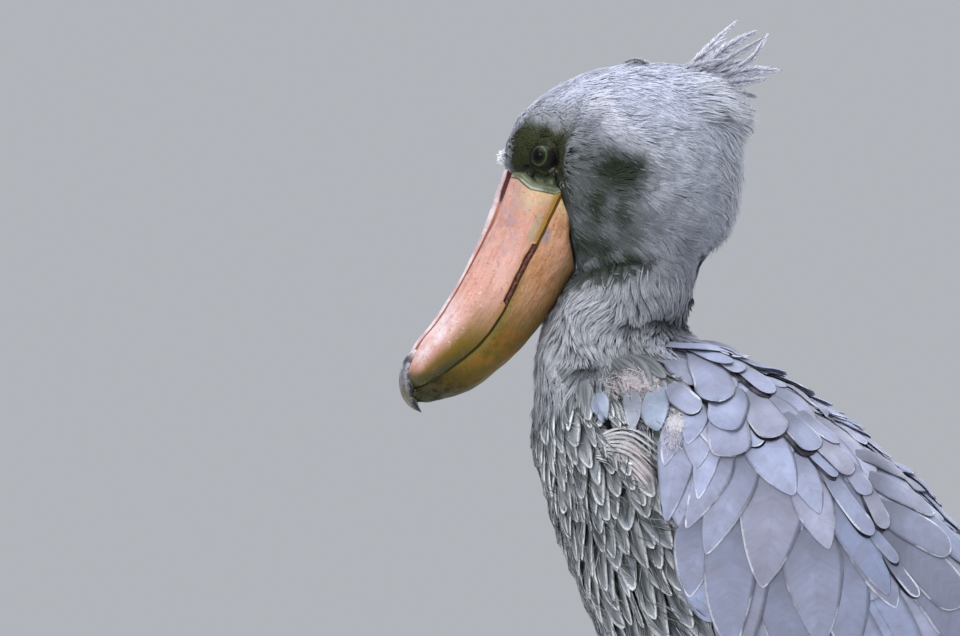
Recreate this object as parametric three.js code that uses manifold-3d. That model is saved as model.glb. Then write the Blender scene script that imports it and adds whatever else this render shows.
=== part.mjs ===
// A life-size shoebill standing at rest, its heavy bill laid down against its breast.
// Millimetres, +Z up. The bird faces -Y, its left side is +X, and its toes rest on z = 0.
import * as THREE from "three";
import { mergeVertices } from "three/addons/utils/BufferGeometryUtils.js";
import Module from "manifold-3d";

const wasm = await Module();
wasm.setup();

// Driving dimensions
const GAP = 0.4; // clear space between two nodes that meet
const CROWN_HEIGHT = 1130; // floor to the crown of the head
const BILL_LENGTH = 232; // corner of the mouth to the tip of the closed bill
const BILL_HALF_WIDTH = 51;
const BILL_PITCH = 52; // degrees that the bill points below level
const GAPE = [-176.5, CROWN_HEIGHT - 122]; // y and z of the corner of the mouth
const EYE_CENTRE = [36, -191, CROWN_HEIGHT - 90];
const EYE_RADIUS = 13;
const EYE_TURN = 38; // degrees that each eye looks ahead of straight sideways
const FOOT_SPREAD = 74; // each foot's distance from the middle
const FOOT_Y = 6;
const HOCK_HEIGHT = 262;
const TARSUS_RADIUS = 10;
const TOE_RADIUS = 7.5;
const CLAW_LENGTH = 21;
const VANE_THICKNESS = 1.1;

const BLUE_GREY = 0x9297ad;
const PALE_GREY = 0xa9adbd;
const HORN_PINK = 0xd2a08f;
const HORN_OLIVE = 0xb28d5e;
const NAIL_GREY = 0x55575c;
const IRIS_GREY = 0x8f9a86;
const LEG_GREY = 0x3f4145;

// Numbers and vectors
const { lerp, clamp, degToRad: radians } = THREE.MathUtils;
const vec = (x, y, z) => new THREE.Vector3(x, y, z);
const END = 1e-6; // how near to 0 or 1 a share counts as an end

// Numbers from -0.5 to 0.5 that are the same on every run.
function seeded(seed) {
  let state = seed;
  return () => {
    state = (state * 16807) % 2147483647;
    return state / 2147483647 - 0.5;
  };
}

// A smooth curve through values, or points, spaced evenly from 0 to 1.
function throughPoints(points) {
  const curve = new THREE.CatmullRomCurve3(
    points.map((p) => vec(...p)),
    false,
    "catmullrom",
    0.5,
  );
  return (t) => curve.getPoint(clamp(t, 0, 1));
}

function through(values) {
  const curve = throughPoints(values.map((value) => [value, 0, 0]));
  return (t) => curve(t).x;
}

// Solids
function turnedOver(index) {
  const turned = new Uint32Array(index);
  for (let i = 0; i < turned.length; i += 3) {
    turned[i + 1] = index[i + 2];
    turned[i + 2] = index[i + 1];
  }
  return turned;
}

// A closed geometry as a solid that faces out.
function solid(geometry) {
  const bare = geometry.clone();
  bare.deleteAttribute("normal");
  bare.deleteAttribute("uv");
  const merged = mergeVertices(bare, 1e-4);
  const vertProperties = new Float32Array(merged.attributes.position.array);
  const triVerts = new Uint32Array(merged.index.array);
  const made = new wasm.Manifold(new wasm.Mesh({ numProp: 3, vertProperties, triVerts }));
  if (made.volume() > 0) return made;
  return new wasm.Manifold(new wasm.Mesh({ numProp: 3, vertProperties, triVerts: turnedOver(triVerts) }));
}

const joined = (pieces) => pieces.reduce((whole, piece) => whole.add(piece));
const cutBy = (whole, pieces) => pieces.reduce((left, piece) => left.subtract(piece), whole);

function largest(made) {
  const pieces = made.decompose();
  return pieces.reduce((best, piece) => (piece.volume() > best.volume() ? piece : best));
}

function node(name, made, colour, roughness) {
  const mesh = largest(made).getMesh();
  const stride = mesh.numProp;
  const positions = new Float32Array(mesh.numVert * 3);
  for (let i = 0; i < mesh.numVert; i += 1) {
    positions.set(mesh.vertProperties.subarray(i * stride, i * stride + 3), i * 3);
  }
  const geometry = new THREE.BufferGeometry();
  geometry.setAttribute("position", new THREE.BufferAttribute(positions, 3));
  geometry.setIndex(new THREE.BufferAttribute(mesh.triVerts, 1));
  geometry.computeVertexNormals();
  const material = new THREE.MeshStandardMaterial({ color: colour, roughness, metalness: 0 });
  const piece = new THREE.Mesh(geometry, material);
  piece.name = name;
  return piece;
}

// A closed skin from place(t, angle): t runs from one closed end to the other.
function skin(place, around, along) {
  const geometry = new THREE.SphereGeometry(1, around, along);
  const { position, uv } = geometry.attributes;
  for (let i = 0; i < position.count; i += 1) {
    const t = 1 - uv.getY(i);
    const atEnd = t < END || t > 1 - END;
    const p = place(t, atEnd ? 0 : uv.getX(i) * 2 * Math.PI, atEnd);
    position.setXYZ(i, p.x, p.y, p.z);
  }
  return solid(geometry);
}

const upright = () => vec(0, 0, 1);
const squareTo = (tangent) => vec(1, 0, 0).cross(tangent).normalize();

// A body along stations [x, y, z, wide, up, down]: each ring is an oval whose tall side lies along back().
// grow makes the whole body that much bigger, to cut a clear space round it.
function body(stations, { around, along, grow = 0, back = squareTo }) {
  const centre = throughPoints(stations.map(([x, y, z]) => [x, y, z]));
  const size = throughPoints(stations.map(([, , , wide, up, down]) => [wide, up, down]));
  const step = 0.01;
  const least = 0.5;
  return skin(
    (t, angle, atEnd) => {
      const tangent = centre(t + step).sub(centre(t - step)).normalize();
      if (atEnd) return centre(t).addScaledVector(tangent, t < 0.5 ? -grow : grow);
      const { x: wide, y: up, z: down } = size(t);
      const rise = Math.sin(angle);
      return centre(t)
        .addScaledVector(vec(1, 0, 0), (Math.max(wide, least) + grow) * Math.cos(angle))
        .addScaledVector(back(tangent), (Math.max(rise > 0 ? up : down, least) + grow) * rise);
    },
    around,
    along,
  );
}

function ball(centre, radius, around, along) {
  const geometry = new THREE.SphereGeometry(radius, around, along);
  geometry.translate(...centre);
  return solid(geometry);
}

function block(centre, sizes, pitch = 0) {
  const geometry = new THREE.BoxGeometry(...sizes);
  geometry.rotateX(radians(pitch));
  geometry.translate(...centre);
  return solid(geometry);
}

// One feather: a thin vane, three points across, whose two faces are split alike.
// line(t) gives its middle, out(t) the way its upper face looks, width(t) its width.
// roll tips it so that neighbours lie like shingles, and camber bends its edges down.
function vane({ line, out, width, roll = 0, camber = 0, rows = 3, grow = 0 }) {
  const positions = [];
  const index = [];
  const step = 0.02;
  const rim = 0.6; // the rim's share of the thickness at the shaft
  for (let row = 0; row <= rows; row += 1) {
    const t = row / rows;
    const along = line(Math.min(t + step, 1)).sub(line(Math.max(t - step, 0))).normalize();
    const middle = line(t).addScaledVector(along, t > 0.5 ? grow : 0);
    const cross = out(t).cross(along).normalize();
    const up = along.clone().cross(cross).normalize();
    const half = width(t) / 2 + grow;
    const thickness = lerp(VANE_THICKNESS * 1.5, VANE_THICKNESS * 0.8, t);
    for (const side of [-1, 0, 1]) {
      const lift = side * roll * half - Math.abs(side) * camber * half * half;
      const deep = (side === 0 ? thickness : thickness * rim) / 2 + grow;
      const p = middle.clone().addScaledVector(cross, side * half).addScaledVector(up, lift);
      positions.push(...p.clone().addScaledVector(up, deep).toArray());
      positions.push(...p.clone().addScaledVector(up, -deep).toArray());
    }
  }
  const at = (row, column, face) => row * 6 + column * 2 + face;
  const quad = (a, b, c, d) => index.push(a, b, c, a, c, d);
  for (let row = 0; row < rows; row += 1) {
    const next = row + 1;
    for (const column of [0, 1]) {
      quad(at(row, column, 0), at(row, column + 1, 0), at(next, column + 1, 0), at(next, column, 0));
      const [a, b] = [at(row, column, 1), at(row, column + 1, 1)];
      const [c, d] = [at(next, column + 1, 1), at(next, column, 1)];
      index.push(a, c, b, a, d, c);
    }
    quad(at(row, 0, 1), at(row, 0, 0), at(next, 0, 0), at(next, 0, 1));
    quad(at(row, 2, 0), at(row, 2, 1), at(next, 2, 1), at(next, 2, 0));
  }
  for (const column of [0, 1]) {
    quad(at(0, column, 1), at(0, column + 1, 1), at(0, column + 1, 0), at(0, column, 0));
    quad(at(rows, column, 0), at(rows, column + 1, 0), at(rows, column + 1, 1), at(rows, column, 1));
  }
  const geometry = new THREE.BufferGeometry();
  geometry.setAttribute("position", new THREE.BufferAttribute(new Float32Array(positions), 3));
  geometry.setIndex(index);
  return solid(geometry);
}

// A feather's width from root to tip, as a share of its full width.
const roundTip = through([0.5, 0.85, 1, 0.96, 0.4]);
const pointedTip = through([0.5, 0.9, 1, 0.72, 0.14]);

// Trunk, from the base of the neck to the root of the tail
const TRUNK_STATIONS = [
  [0, -158, 888, 0, 0, 0],
  [0, -133, 854, 76, 60, 82],
  [0, -101, 808, 101, 88, 107],
  [0, -64, 760, 117, 116, 123],
  [0, -20, 702, 127, 140, 145],
  [0, 32, 642, 129, 148, 150],
  [0, 92, 578, 117, 148, 138],
  [0, 152, 514, 92, 126, 106],
  [0, 207, 458, 62, 88, 72],
  [0, 250, 414, 34, 46, 40],
  [0, 274, 390, 0, 0, 0],
];
// The wings lie over the front of the trunk and then run on to their own tips.
const WING_STATIONS = [
  ...TRUNK_STATIONS.slice(0, 8),
  [0, 207, 458, 74, 112, 78],
  [0, 253, 412, 58, 88, 62],
  [0, 300, 367, 44, 62, 48],
  [0, 347, 323, 32, 40, 36],
  [0, 396, 278, 20, 24, 26],
];
const LAST_STATION = WING_STATIONS.length - 1;
const wingCentre = throughPoints(WING_STATIONS.map(([x, y, z]) => [x, y, z]));
const wingSize = throughPoints(WING_STATIONS.map(([, , , wide, up, down]) => [wide, up, down]));

const trunkBody = (grow = 0) => body(TRUNK_STATIONS, { around: 24, along: 16, grow });

// A point over the folded bird: k counts stations from the neck, phi is the angle in degrees from the
// side up to the back, and height is the distance out from the trunk.
function overBody(k, phi, height, side) {
  const t = k / LAST_STATION;
  const step = 0.01;
  const tangent = wingCentre(t + step).sub(wingCentre(t - step)).normalize();
  const { x: wide, y: up, z: down } = wingSize(t);
  const angle = radians(phi);
  return wingCentre(t)
    .addScaledVector(vec(side, 0, 0), (wide + height) * Math.cos(angle))
    .addScaledVector(squareTo(tangent), ((phi > 0 ? up : down) + height) * Math.sin(angle));
}

// A feather laid over the body from a root [k, phi] to a tip [k, phi], at height(k, phi, t).
function laidVane({ root, tip, height, width, side, shape, roll = 0, rows, grow = 0 }) {
  const at = (t, extra = 0) => {
    const k = lerp(root[0], tip[0], t);
    const phi = lerp(root[1], tip[1], t);
    return overBody(k, phi, height(k, phi, t) + extra, side);
  };
  return vane({
    line: (t) => at(t),
    out: (t) => at(t, 1).sub(at(t)).normalize(),
    width: (t) => width * shape(t),
    roll: roll * side,
    camber: 0.0035,
    rows,
    grow,
  });
}

// Wings, each a shell over the side of the trunk that carries the feathers in tiers
const WING_FROM = 2.1;
const WING_TO = 9.6;
const wingLow = through([14, -2, -11, -14, -14, -10, -4, 2, 8]);
const wingHigh = through([40, 58, 64, 67, 72, 78, 83, 84, 82]);
const wingThick = through([8, 14, 17, 17, 16, 14, 11, 8, 6]);
const FEATHER_SINK = 3;
const FEATHER_LIFT = 9;

// How far the wing's shell stands out from the trunk.
function wingHeight(k, phi) {
  const t = clamp((k - WING_FROM) / (WING_TO - WING_FROM), 0, 1);
  const share = clamp((phi - wingLow(t)) / (wingHigh(t) - wingLow(t)), 0.02, 0.98);
  return wingThick(t) * (2 * Math.sqrt(share * (1 - share))) ** 0.5;
}

function wingShell(side, grow = 0) {
  const inside = -3 - grow;
  return skin(
    (t, angle, atEnd) => {
      const k = lerp(WING_FROM, WING_TO, t);
      const low = wingLow(t) - grow;
      const high = wingHigh(t) + grow;
      if (atEnd) return overBody(k, (low + high) / 2, 4, side);
      const taper = Math.sin(Math.PI * t) ** 0.3;
      const phi = lerp(low, high, (1 - Math.cos(angle)) / 2);
      const rise = Math.max(Math.sin(angle), 0) ** 0.5 * (wingThick(t) * taper + grow - inside);
      return overBody(k, phi, inside + rise, side);
    },
    14,
    14,
  );
}

// k and phi place the roots, length is counted in stations, and slant is how far a tip droops.
const WING_TIERS = [
  { k: 2.3, phi: [18, 34], count: 2, length: 0.8, width: 40, slant: -20, lift: 0, rows: 2 },
  { k: 2.8, phi: [10, 40], count: 3, length: 1.05, width: 48, slant: -20, lift: 0, rows: 2 },
  { k: 3.5, phi: [8, 40], count: 3, length: 1.4, width: 54, slant: -20, lift: 0, rows: 2 },
  { k: 4.45, phi: [5, 38], count: 3, length: 1.9, width: 56, slant: -16, lift: 0, rows: 3 },
  { k: 5.75, phi: [2, 33], count: 3, length: 2.7, width: 50, slant: -8, lift: 0, rows: 3 },
  { k: 7.4, phi: [8, 38], count: 4, length: 4.2, width: 32, slant: 0, lift: 0, rows: 3 },
  { k: 2.3, phi: [50, 54], count: 1, length: 0.95, width: 44, slant: -8, lift: 3, rows: 2 },
  { k: 3.0, phi: [47, 60], count: 2, length: 1.2, width: 48, slant: -6, lift: 3, rows: 2 },
  { k: 3.95, phi: [46, 64], count: 2, length: 1.55, width: 54, slant: -6, lift: 3, rows: 2 },
  { k: 5.2, phi: [44, 72], count: 3, length: 2.0, width: 52, slant: -5, lift: 3, rows: 3 },
  { k: 6.9, phi: [44, 78], count: 3, length: 2.7, width: 44, slant: -4, lift: 3, rows: 3 },
];

function wingVanes(side, grow = 0) {
  const random = seeded(side > 0 ? 31 : 37);
  return WING_TIERS.flatMap((tier) =>
    Array.from({ length: tier.count }, (_, i) => {
      const place = tier.count === 1 ? 0.5 : i / (tier.count - 1);
      const phi = lerp(...tier.phi, place) + random() * 1.5;
      const k = tier.k + random() * 0.1;
      const length = tier.length * (1 + random() * 0.08);
      return laidVane({
        root: [k, phi],
        tip: [k + length, phi + tier.slant * (1 - 0.65 * place)],
        height: (ak, aphi, t) => wingHeight(ak, aphi) + lerp(-FEATHER_SINK, FEATHER_LIFT + tier.lift, t),
        width: tier.width,
        side,
        shape: roundTip,
        roll: 0.06,
        rows: tier.rows,
        grow,
      });
    }),
  );
}

const wingWhole = (side, grow = 0) => joined([wingShell(side, grow), ...wingVanes(side, grow)]);

function wing(side) {
  const otherSide = block([-side * 500, 0, 500], [1000 + GAP, 2000, 2000]);
  return cutBy(wingWhole(side), [trunkBody(GAP), otherSide]);
}

// Torso: the trunk with the mantle over its shoulders and long pointed plumes over its breast
const MANTLE_ROWS = [
  { k: 1.45, count: 4, spread: 32, length: 0.9, width: 40 },
  { k: 2.05, count: 3, spread: 20, length: 0.95, width: 42 },
  { k: 2.75, count: 3, spread: 15, length: 1.05, width: 40 },
  { k: 3.6, count: 2, spread: 7, length: 1.15, width: 40 },
  { k: 4.6, count: 2, spread: 6, length: 1.3, width: 38 },
];
const BREAST_ROWS = [
  { k: 1.5, count: 4, spread: 42, length: 0.95, width: 28 },
  { k: 2.1, count: 6, spread: 50, length: 1.05, width: 30 },
  { k: 2.9, count: 6, spread: 48, length: 1.1, width: 34 },
  { k: 3.8, count: 6, spread: 46, length: 1.1, width: 36 },
  { k: 4.7, count: 4, spread: 32, length: 1.1, width: 36 },
];

// Rows of feathers on the trunk round the line at phi = middle.
function trunkVanes(rows, middle, shape, seed) {
  const random = seeded(seed);
  return rows.flatMap((row) =>
    Array.from({ length: row.count }, (_, i) => {
      const place = (i / (row.count - 1) - 0.5) * 2;
      const k = row.k + random() * 0.12;
      const phi = middle + place * row.spread + random() * 2;
      return laidVane({
        root: [k, phi],
        tip: [k + row.length, phi + place * 2],
        height: (ak, aphi, t) => lerp(-FEATHER_SINK - 1, FEATHER_LIFT - (i % 2) * 3, t),
        width: row.width,
        side: 1,
        shape,
        rows: 2,
      });
    }),
  );
}

function torso() {
  const feathers = joined([
    ...trunkVanes(MANTLE_ROWS, 90, roundTip, 11),
    ...trunkVanes(BREAST_ROWS, -90, pointedTip, 23),
  ]);
  const sides = [1, -1].flatMap((side) => [wingWhole(side, GAP), thighBody(side, GAP)]);
  const others = [...sides, neckBody(GAP)];
  return cutBy(trunkBody().add(cutBy(feathers, others)), [billRoom()]);
}

// Head: an oval run from the face to the nape, wide at the cheeks and narrow at the eyes
const HEAD_STATIONS = [
  [0, -231, CROWN_HEIGHT - 92, 0, 0, 0],
  [0, -226, CROWN_HEIGHT - 88, 24, 20, 16],
  [0, -212, CROWN_HEIGHT - 88, 37, 44, 34],
  [0, -190, CROWN_HEIGHT - 92, 45, 66, 58],
  [0, -170, CROWN_HEIGHT - 97, 60, 82, 78],
  [0, -140, CROWN_HEIGHT - 103, 74, 98, 94],
  [0, -105, CROWN_HEIGHT - 104, 79, 103, 98],
  [0, -65, CROWN_HEIGHT - 102, 74, 99, 94],
  [0, -35, CROWN_HEIGHT - 99, 61, 84, 78],
  [0, -14, CROWN_HEIGHT - 97, 40, 57, 50],
  [0, -4, CROWN_HEIGHT - 97, 0, 0, 0],
];
const headBody = (grow = 0) => body(HEAD_STATIONS, { around: 22, along: 16, grow, back: upright });

// The crest on the nape: loose narrow plumes that fan from upright to level and curl up.
const CREST_PLUMES = 8;

function crestVanes() {
  const random = seeded(5);
  return Array.from({ length: CREST_PLUMES }, (_, i) => {
    const place = i / (CREST_PLUMES - 1);
    const sideways = ((i * 3) % CREST_PLUMES) / (CREST_PLUMES - 1) - 0.5;
    const rise = radians(lerp(46, -2, place) + random() * 6);
    const length = lerp(66, 46, place) + random() * 10;
    const root = vec(sideways * 40, lerp(-54, -24, place), CROWN_HEIGHT - lerp(13, 34, place));
    const away = vec(sideways * 0.5, Math.cos(rise), Math.sin(rise)).normalize();
    const curl = vec(0, -Math.sin(rise), Math.cos(rise));
    const bend = length * 0.16;
    return vane({
      line: (t) => root.clone().addScaledVector(away, length * t).addScaledVector(curl, bend * t * t),
      out: () => vec(Math.sign(sideways), 0, 0).addScaledVector(curl, 0.5),
      width: (t) => 12 * pointedTip(t),
    });
  });
}

// Eyes and the folds of skin round them
function eyeFrame(side) {
  const turn = radians(EYE_TURN);
  const looks = vec(side * Math.cos(turn), -Math.sin(turn), 0.12).normalize();
  const level = vec(0, 0, 1).cross(looks).normalize();
  return { looks, level, rise: looks.clone().cross(level).normalize() };
}

const eyeBall = (side, grow = 0) => {
  const [x, y, z] = EYE_CENTRE;
  return ball([side * x, y, z], EYE_RADIUS + grow, 12, 8);
};

// A lid or brow: a roll of skin bent round the eye from one angle to another, push ahead of its centre.
function eyeRoll(side, { radius, thick, from, to, push }) {
  const [x, y, z] = EYE_CENTRE;
  const { looks, level, rise } = eyeFrame(side);
  const steps = 5;
  const points = Array.from({ length: steps + 1 }, (_, i) => {
    const angle = radians(lerp(from, to, i / steps));
    return vec(side * x, y, z)
      .addScaledVector(looks, push)
      .addScaledVector(level, radius * Math.cos(angle))
      .addScaledVector(rise, radius * Math.sin(angle));
  });
  const section = new THREE.Shape();
  section.absellipse(0, 0, thick, thick, 0, 2 * Math.PI);
  const extrudePath = new THREE.CatmullRomCurve3(points);
  const options = { steps, curveSegments: 2, extrudePath, bevelEnabled: false };
  return solid(new THREE.ExtrudeGeometry(section, options));
}

const EYE_FOLDS = [
  { radius: 11.5, thick: 2.6, from: 5, to: 175, push: 6.5 }, // upper lid
  { radius: 11.5, thick: 2.2, from: 185, to: 355, push: 6.5 }, // lower lid
  { radius: 19, thick: 5, from: 25, to: 155, push: 1 }, // brow
];

function head() {
  const folds = [1, -1].flatMap((side) => EYE_FOLDS.map((fold) => eyeRoll(side, fold)));
  const whole = joined([headBody(), ...folds, ...crestVanes()]);
  return cutBy(whole, [eyeBall(1, GAP), eyeBall(-1, GAP)]);
}

// Neck: short and thick, sunk between the head and the shoulders
const NECK_STATIONS = [
  [0, -88, CROWN_HEIGHT - 130, 0, 0, 0],
  [0, -92, CROWN_HEIGHT - 145, 60, 50, 50],
  [0, -108, CROWN_HEIGHT - 185, 64, 60, 56],
  [0, -120, CROWN_HEIGHT - 222, 62, 62, 62],
  [0, -128, CROWN_HEIGHT - 262, 72, 68, 73],
  [0, -126, CROWN_HEIGHT - 296, 86, 78, 80],
  [0, -118, CROWN_HEIGHT - 322, 88, 80, 82],
  [0, -110, CROWN_HEIGHT - 336, 0, 0, 0],
];
const neckBody = (grow = 0) => body(NECK_STATIONS, { around: 18, along: 12, grow });
const neck = () => cutBy(neckBody(), [trunkBody(GAP), headBody(GAP), billRoom()]);

// Bill: in its own frame a runs along the mouth from its corner, and d rises square to it
const billAlong = vec(0, -Math.cos(radians(BILL_PITCH)), -Math.sin(radians(BILL_PITCH)));
const billUp = vec(0, -Math.sin(radians(BILL_PITCH)), Math.cos(radians(BILL_PITCH)));
const inBill = (x, a, d) => vec(x, ...GAPE).addScaledVector(billAlong, a).addScaledVector(billUp, d);

const BILL_BASE = 34; // how far the bill runs back into the head
const UPPER_END = 227;
const LOWER_END = 231;
const NAIL_TIP = [240, -23];
// From the base to the tip: d of the ridge, the mouth and the chin, and the share of the full width.
const ridgeLine = through([61, 61, 50.5, 39, 30.5, 24.5, 21.5, 20, 8]);
const mouthLine = through([1, 0, -8, -14, -20, -24, -23, -15, -5]);
const chinLine = through([-14, -36, -50, -55, -58, -58, -52, -39, -21]);
const billWidth = through([0.78, 0.84, 0.9, 0.95, 1, 1, 0.9, 0.66, 0.25]);
const billShare = (a) => (a + BILL_BASE) / (BILL_LENGTH + BILL_BASE);

function upperBill(grow = 0) {
  const keelHeight = 3.5;
  const keelShare = 0.16; // the keel's share of the width
  const sideHeight = 8; // the side wall stands this high over the edge of the mouth
  return skin(
    (t, angle, atEnd) => {
      const a = lerp(-BILL_BASE, UPPER_END, t);
      const share = billShare(a);
      const ridge = ridgeLine(share) + grow;
      const mouth = mouthLine(share) - grow;
      if (atEnd) return inBill(0, a + (t < 0.5 ? -grow : grow), (ridge + mouth) / 2);
      const up = Math.sin(angle);
      const out = Math.cos(angle);
      const wide = (billWidth(share) * BILL_HALF_WIDTH + grow) * Math.sign(out) * Math.abs(out) ** 0.75;
      const keel = keelHeight * Math.exp(-((out / keelShare) ** 2));
      const wall = mouth + sideHeight;
      const d = up > 0 ? lerp(wall, ridge - keelHeight, up) + keel : lerp(wall, mouth, -up);
      return inBill(wide, a, d);
    },
    22,
    16,
  );
}

function lowerBill(grow = 0) {
  const lipHeight = 6;
  const widthShare = 0.94; // the lower bill closes just inside the upper one
  return skin(
    (t, angle, atEnd) => {
      const a = lerp(-BILL_BASE, LOWER_END, t);
      const share = billShare(a);
      const mouth = mouthLine(share) + grow;
      const chin = chinLine(share) - grow;
      if (atEnd) return inBill(0, a + (t < 0.5 ? -grow : grow), (mouth + chin) / 2);
      const up = Math.sin(angle);
      const out = Math.cos(angle);
      const half = billWidth(share) * BILL_HALF_WIDTH * widthShare + grow;
      const wide = half * Math.sign(out) * Math.abs(out) ** 0.7;
      const lip = mouth - lipHeight;
      const d = up > 0 ? lerp(lip, mouth, up ** 0.6) : lerp(lip, chin, (-up) ** 1.2);
      return inBill(wide, a, d);
    },
    18,
    14,
  );
}

// Each nostril is a slit in the groove beside the ridge, close to the forehead.
function nostril(side) {
  const start = inBill(side * 11, 24, 55);
  const end = inBill(side * 12, 48, 47);
  const middle = start.clone().add(end).multiplyScalar(0.5);
  const pitch = THREE.MathUtils.radToDeg(Math.atan2(end.z - start.z, end.y - start.y));
  return block(middle.toArray(), [3, start.distanceTo(end), 5], pitch);
}

// The nail: a hook that starts on the ridge and bends down over the tip of the lower bill.
function nail(grow = 0) {
  const line = throughPoints([
    [0, 194, 15],
    [0, 211, 13.5],
    [0, 223, 8.5],
    [0, 232, -1],
    [0, 238, -12],
    [0, ...NAIL_TIP],
  ]);
  const size = throughPoints([
    [0, 0, 0],
    [15, 8, 0],
    [14, 7.5, 0],
    [10, 6.5, 0],
    [6, 4.5, 0],
    [0, 0, 0],
  ]);
  const step = 0.02;
  return skin(
    (t, angle, atEnd) => {
      const c = line(t);
      if (atEnd) return inBill(0, c.y, c.z);
      const ahead = line(t + step).sub(line(t - step)).normalize();
      const up = Math.sin(angle) * (size(t).y + grow);
      return inBill(Math.cos(angle) * (size(t).x + grow), c.y - ahead.z * up, c.z + ahead.y * up);
    },
    12,
    8,
  );
}

// The room that the closed bill takes up.
const billRoom = () => joined([upperBill(GAP), lowerBill(GAP), nail(GAP)]);

function billNodes() {
  const others = [headBody(GAP), nail(GAP)];
  const upper = cutBy(upperBill(), [...others, nostril(1), nostril(-1)]);
  const lower = cutBy(lowerBill(), [...others, upperBill(GAP)]);
  return [
    node("bill_upper", upper, HORN_PINK, 0.45),
    node("bill_lower", lower, HORN_OLIVE, 0.5),
    node("bill_nail", nail(), NAIL_GREY, 0.4),
  ];
}

// Tail: a short root that carries straight feathers, a little fanned and highest in the middle
const TAIL_ROOT = vec(0, 222, 408);
const TAIL_PITCH = 44;
const TAIL_FEATHERS = 12;
const TAIL_STEP = 1.1; // each feather lies this much under the one nearer the middle
const tailAlong = vec(0, Math.cos(radians(TAIL_PITCH)), -Math.sin(radians(TAIL_PITCH)));
const tailUp = squareTo(tailAlong);

function tail() {
  const at = (distance) => TAIL_ROOT.clone().addScaledVector(tailAlong, distance);
  const station = (distance, wide, up, down) => [...at(distance).toArray(), wide, up, down];
  const core = body(
    [
      station(-30, 0, 0, 0),
      station(-12, 32, 20, 22),
      station(20, 34, 14, 17),
      station(60, 30, 7, 9),
      station(95, 0, 0, 0),
    ],
    { around: 12, along: 8 },
  );
  const vanes = Array.from({ length: TAIL_FEATHERS }, (_, i) => {
    const place = (i / (TAIL_FEATHERS - 1) - 0.5) * 2;
    const fan = vec(place * 0.13, 0, 0).add(tailAlong).normalize();
    const start = at(5).add(vec(place * 22, 0, 0));
    const length = 222 - Math.abs(place) * 16;
    const lift = 4 - TAIL_STEP * (2 * Math.abs(i - (TAIL_FEATHERS - 1) / 2) + (i % 2 ? 0.5 : 0));
    return vane({
      line: (t) => start.clone().addScaledVector(fan, length * t).addScaledVector(tailUp, lift - 6 * t * t),
      out: () => tailUp.clone(),
      width: (t) => 34 * roundTip(t),
      rows: 2,
    });
  });
  return cutBy(joined([core, ...vanes]), [trunkBody(GAP)]);
}

// Legs: a feathered thigh, a bare shin, and a tarsus from the hock to the foot
function thighBody(side, grow = 0) {
  const x = side * FOOT_SPREAD;
  return body(
    [
      [x * 0.6, 20, 610, 0, 0, 0],
      [x * 0.66, 20, 580, 34, 44, 44],
      [x * 0.8, 20, 510, 42, 56, 58],
      [x * 0.93, 26, 436, 36, 46, 45],
      [x, 33, 374, 23, 27, 26],
      [x, 37, 342, 15, 16, 16],
      [x, 37, 334, 0, 0, 0],
    ],
    { around: 14, along: 10, grow, back: () => vec(0, 1, 0) },
  );
}

function shinBody(side, grow = 0) {
  const x = side * FOOT_SPREAD;
  return body(
    [
      [x, FOOT_Y + 31, 356, 0, 0, 0],
      [x, FOOT_Y + 31, 348, 9, 10, 10],
      [x, FOOT_Y + 32, 320, 9, 10, 10],
      [x, FOOT_Y + 34, 284, 10, 11, 11],
      [x, FOOT_Y + 34, HOCK_HEIGHT + 6, 15, 16, 14],
      [x, FOOT_Y + 34, HOCK_HEIGHT - 16, 0, 0, 0],
    ],
    { around: 10, along: 8, grow, back: () => vec(0, 1, 0) },
  );
}

function tarsusBody(side, grow = 0) {
  const x = side * FOOT_SPREAD;
  const r = TARSUS_RADIUS;
  return body(
    [
      [x, FOOT_Y + 34, HOCK_HEIGHT + 8, 0, 0, 0],
      [x, FOOT_Y + 34, HOCK_HEIGHT - 2, r + 4, r + 5, r + 3],
      [x, FOOT_Y + 30, HOCK_HEIGHT - 34, r, r + 2, r + 1],
      [x, FOOT_Y + 20, 150, r - 1, r + 1, r],
      [x, FOOT_Y + 8, 60, r, r + 1, r],
      [x, FOOT_Y + 1, 22, r + 3, r + 4, r + 3],
      [x, FOOT_Y, -4, 0, 0, 0],
    ],
    { around: 10, along: 10, grow, back: () => vec(0, 1, 0) },
  );
}

const floor = block([0, 0, -50], [2000, 2000, 100]);

// Four long toes, all on the ground: angle is measured outwards from straight ahead.
const TOES = [
  { name: "hind", angle: 168, length: 78, joints: 1 },
  { name: "inner", angle: -24, length: 122, joints: 2 },
  { name: "middle", angle: 2, length: 168, joints: 3 },
  { name: "outer", angle: 38, length: 134, joints: 4 },
];

function toePlace(side, toe) {
  const turn = radians(toe.angle);
  const ahead = vec(side * Math.sin(turn), -Math.cos(turn), 0);
  return { start: vec(side * FOOT_SPREAD, FOOT_Y, 0), ahead, sideways: vec(0, 0, 1).cross(ahead) };
}

// A toe swells at its joints and thins towards the claw.
function toeBody(side, toe, grow = 0) {
  const { start, ahead, sideways } = toePlace(side, toe);
  const rings = 2 * toe.joints + 2;
  return skin(
    (t, angle, atEnd) => {
      const height = lerp(TOE_RADIUS + 1.5, TOE_RADIUS - 2.4, t);
      const c = start.clone().addScaledVector(ahead, toe.length * t).setZ(height);
      if (atEnd) return c.addScaledVector(ahead, t < 0.5 ? -grow : grow);
      const swell = Math.round(t * rings) % 2 === 0 ? 1.12 : 0.92;
      const r = lerp(TOE_RADIUS + 1.5, TOE_RADIUS - 2, t) * swell + grow;
      c.addScaledVector(sideways, r * Math.cos(angle)).addScaledVector(vec(0, 0, 1), r * Math.sin(angle));
      return c.setZ(Math.max(c.z, grow > 0 ? -grow : 0));
    },
    8,
    rings,
  );
}

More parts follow.
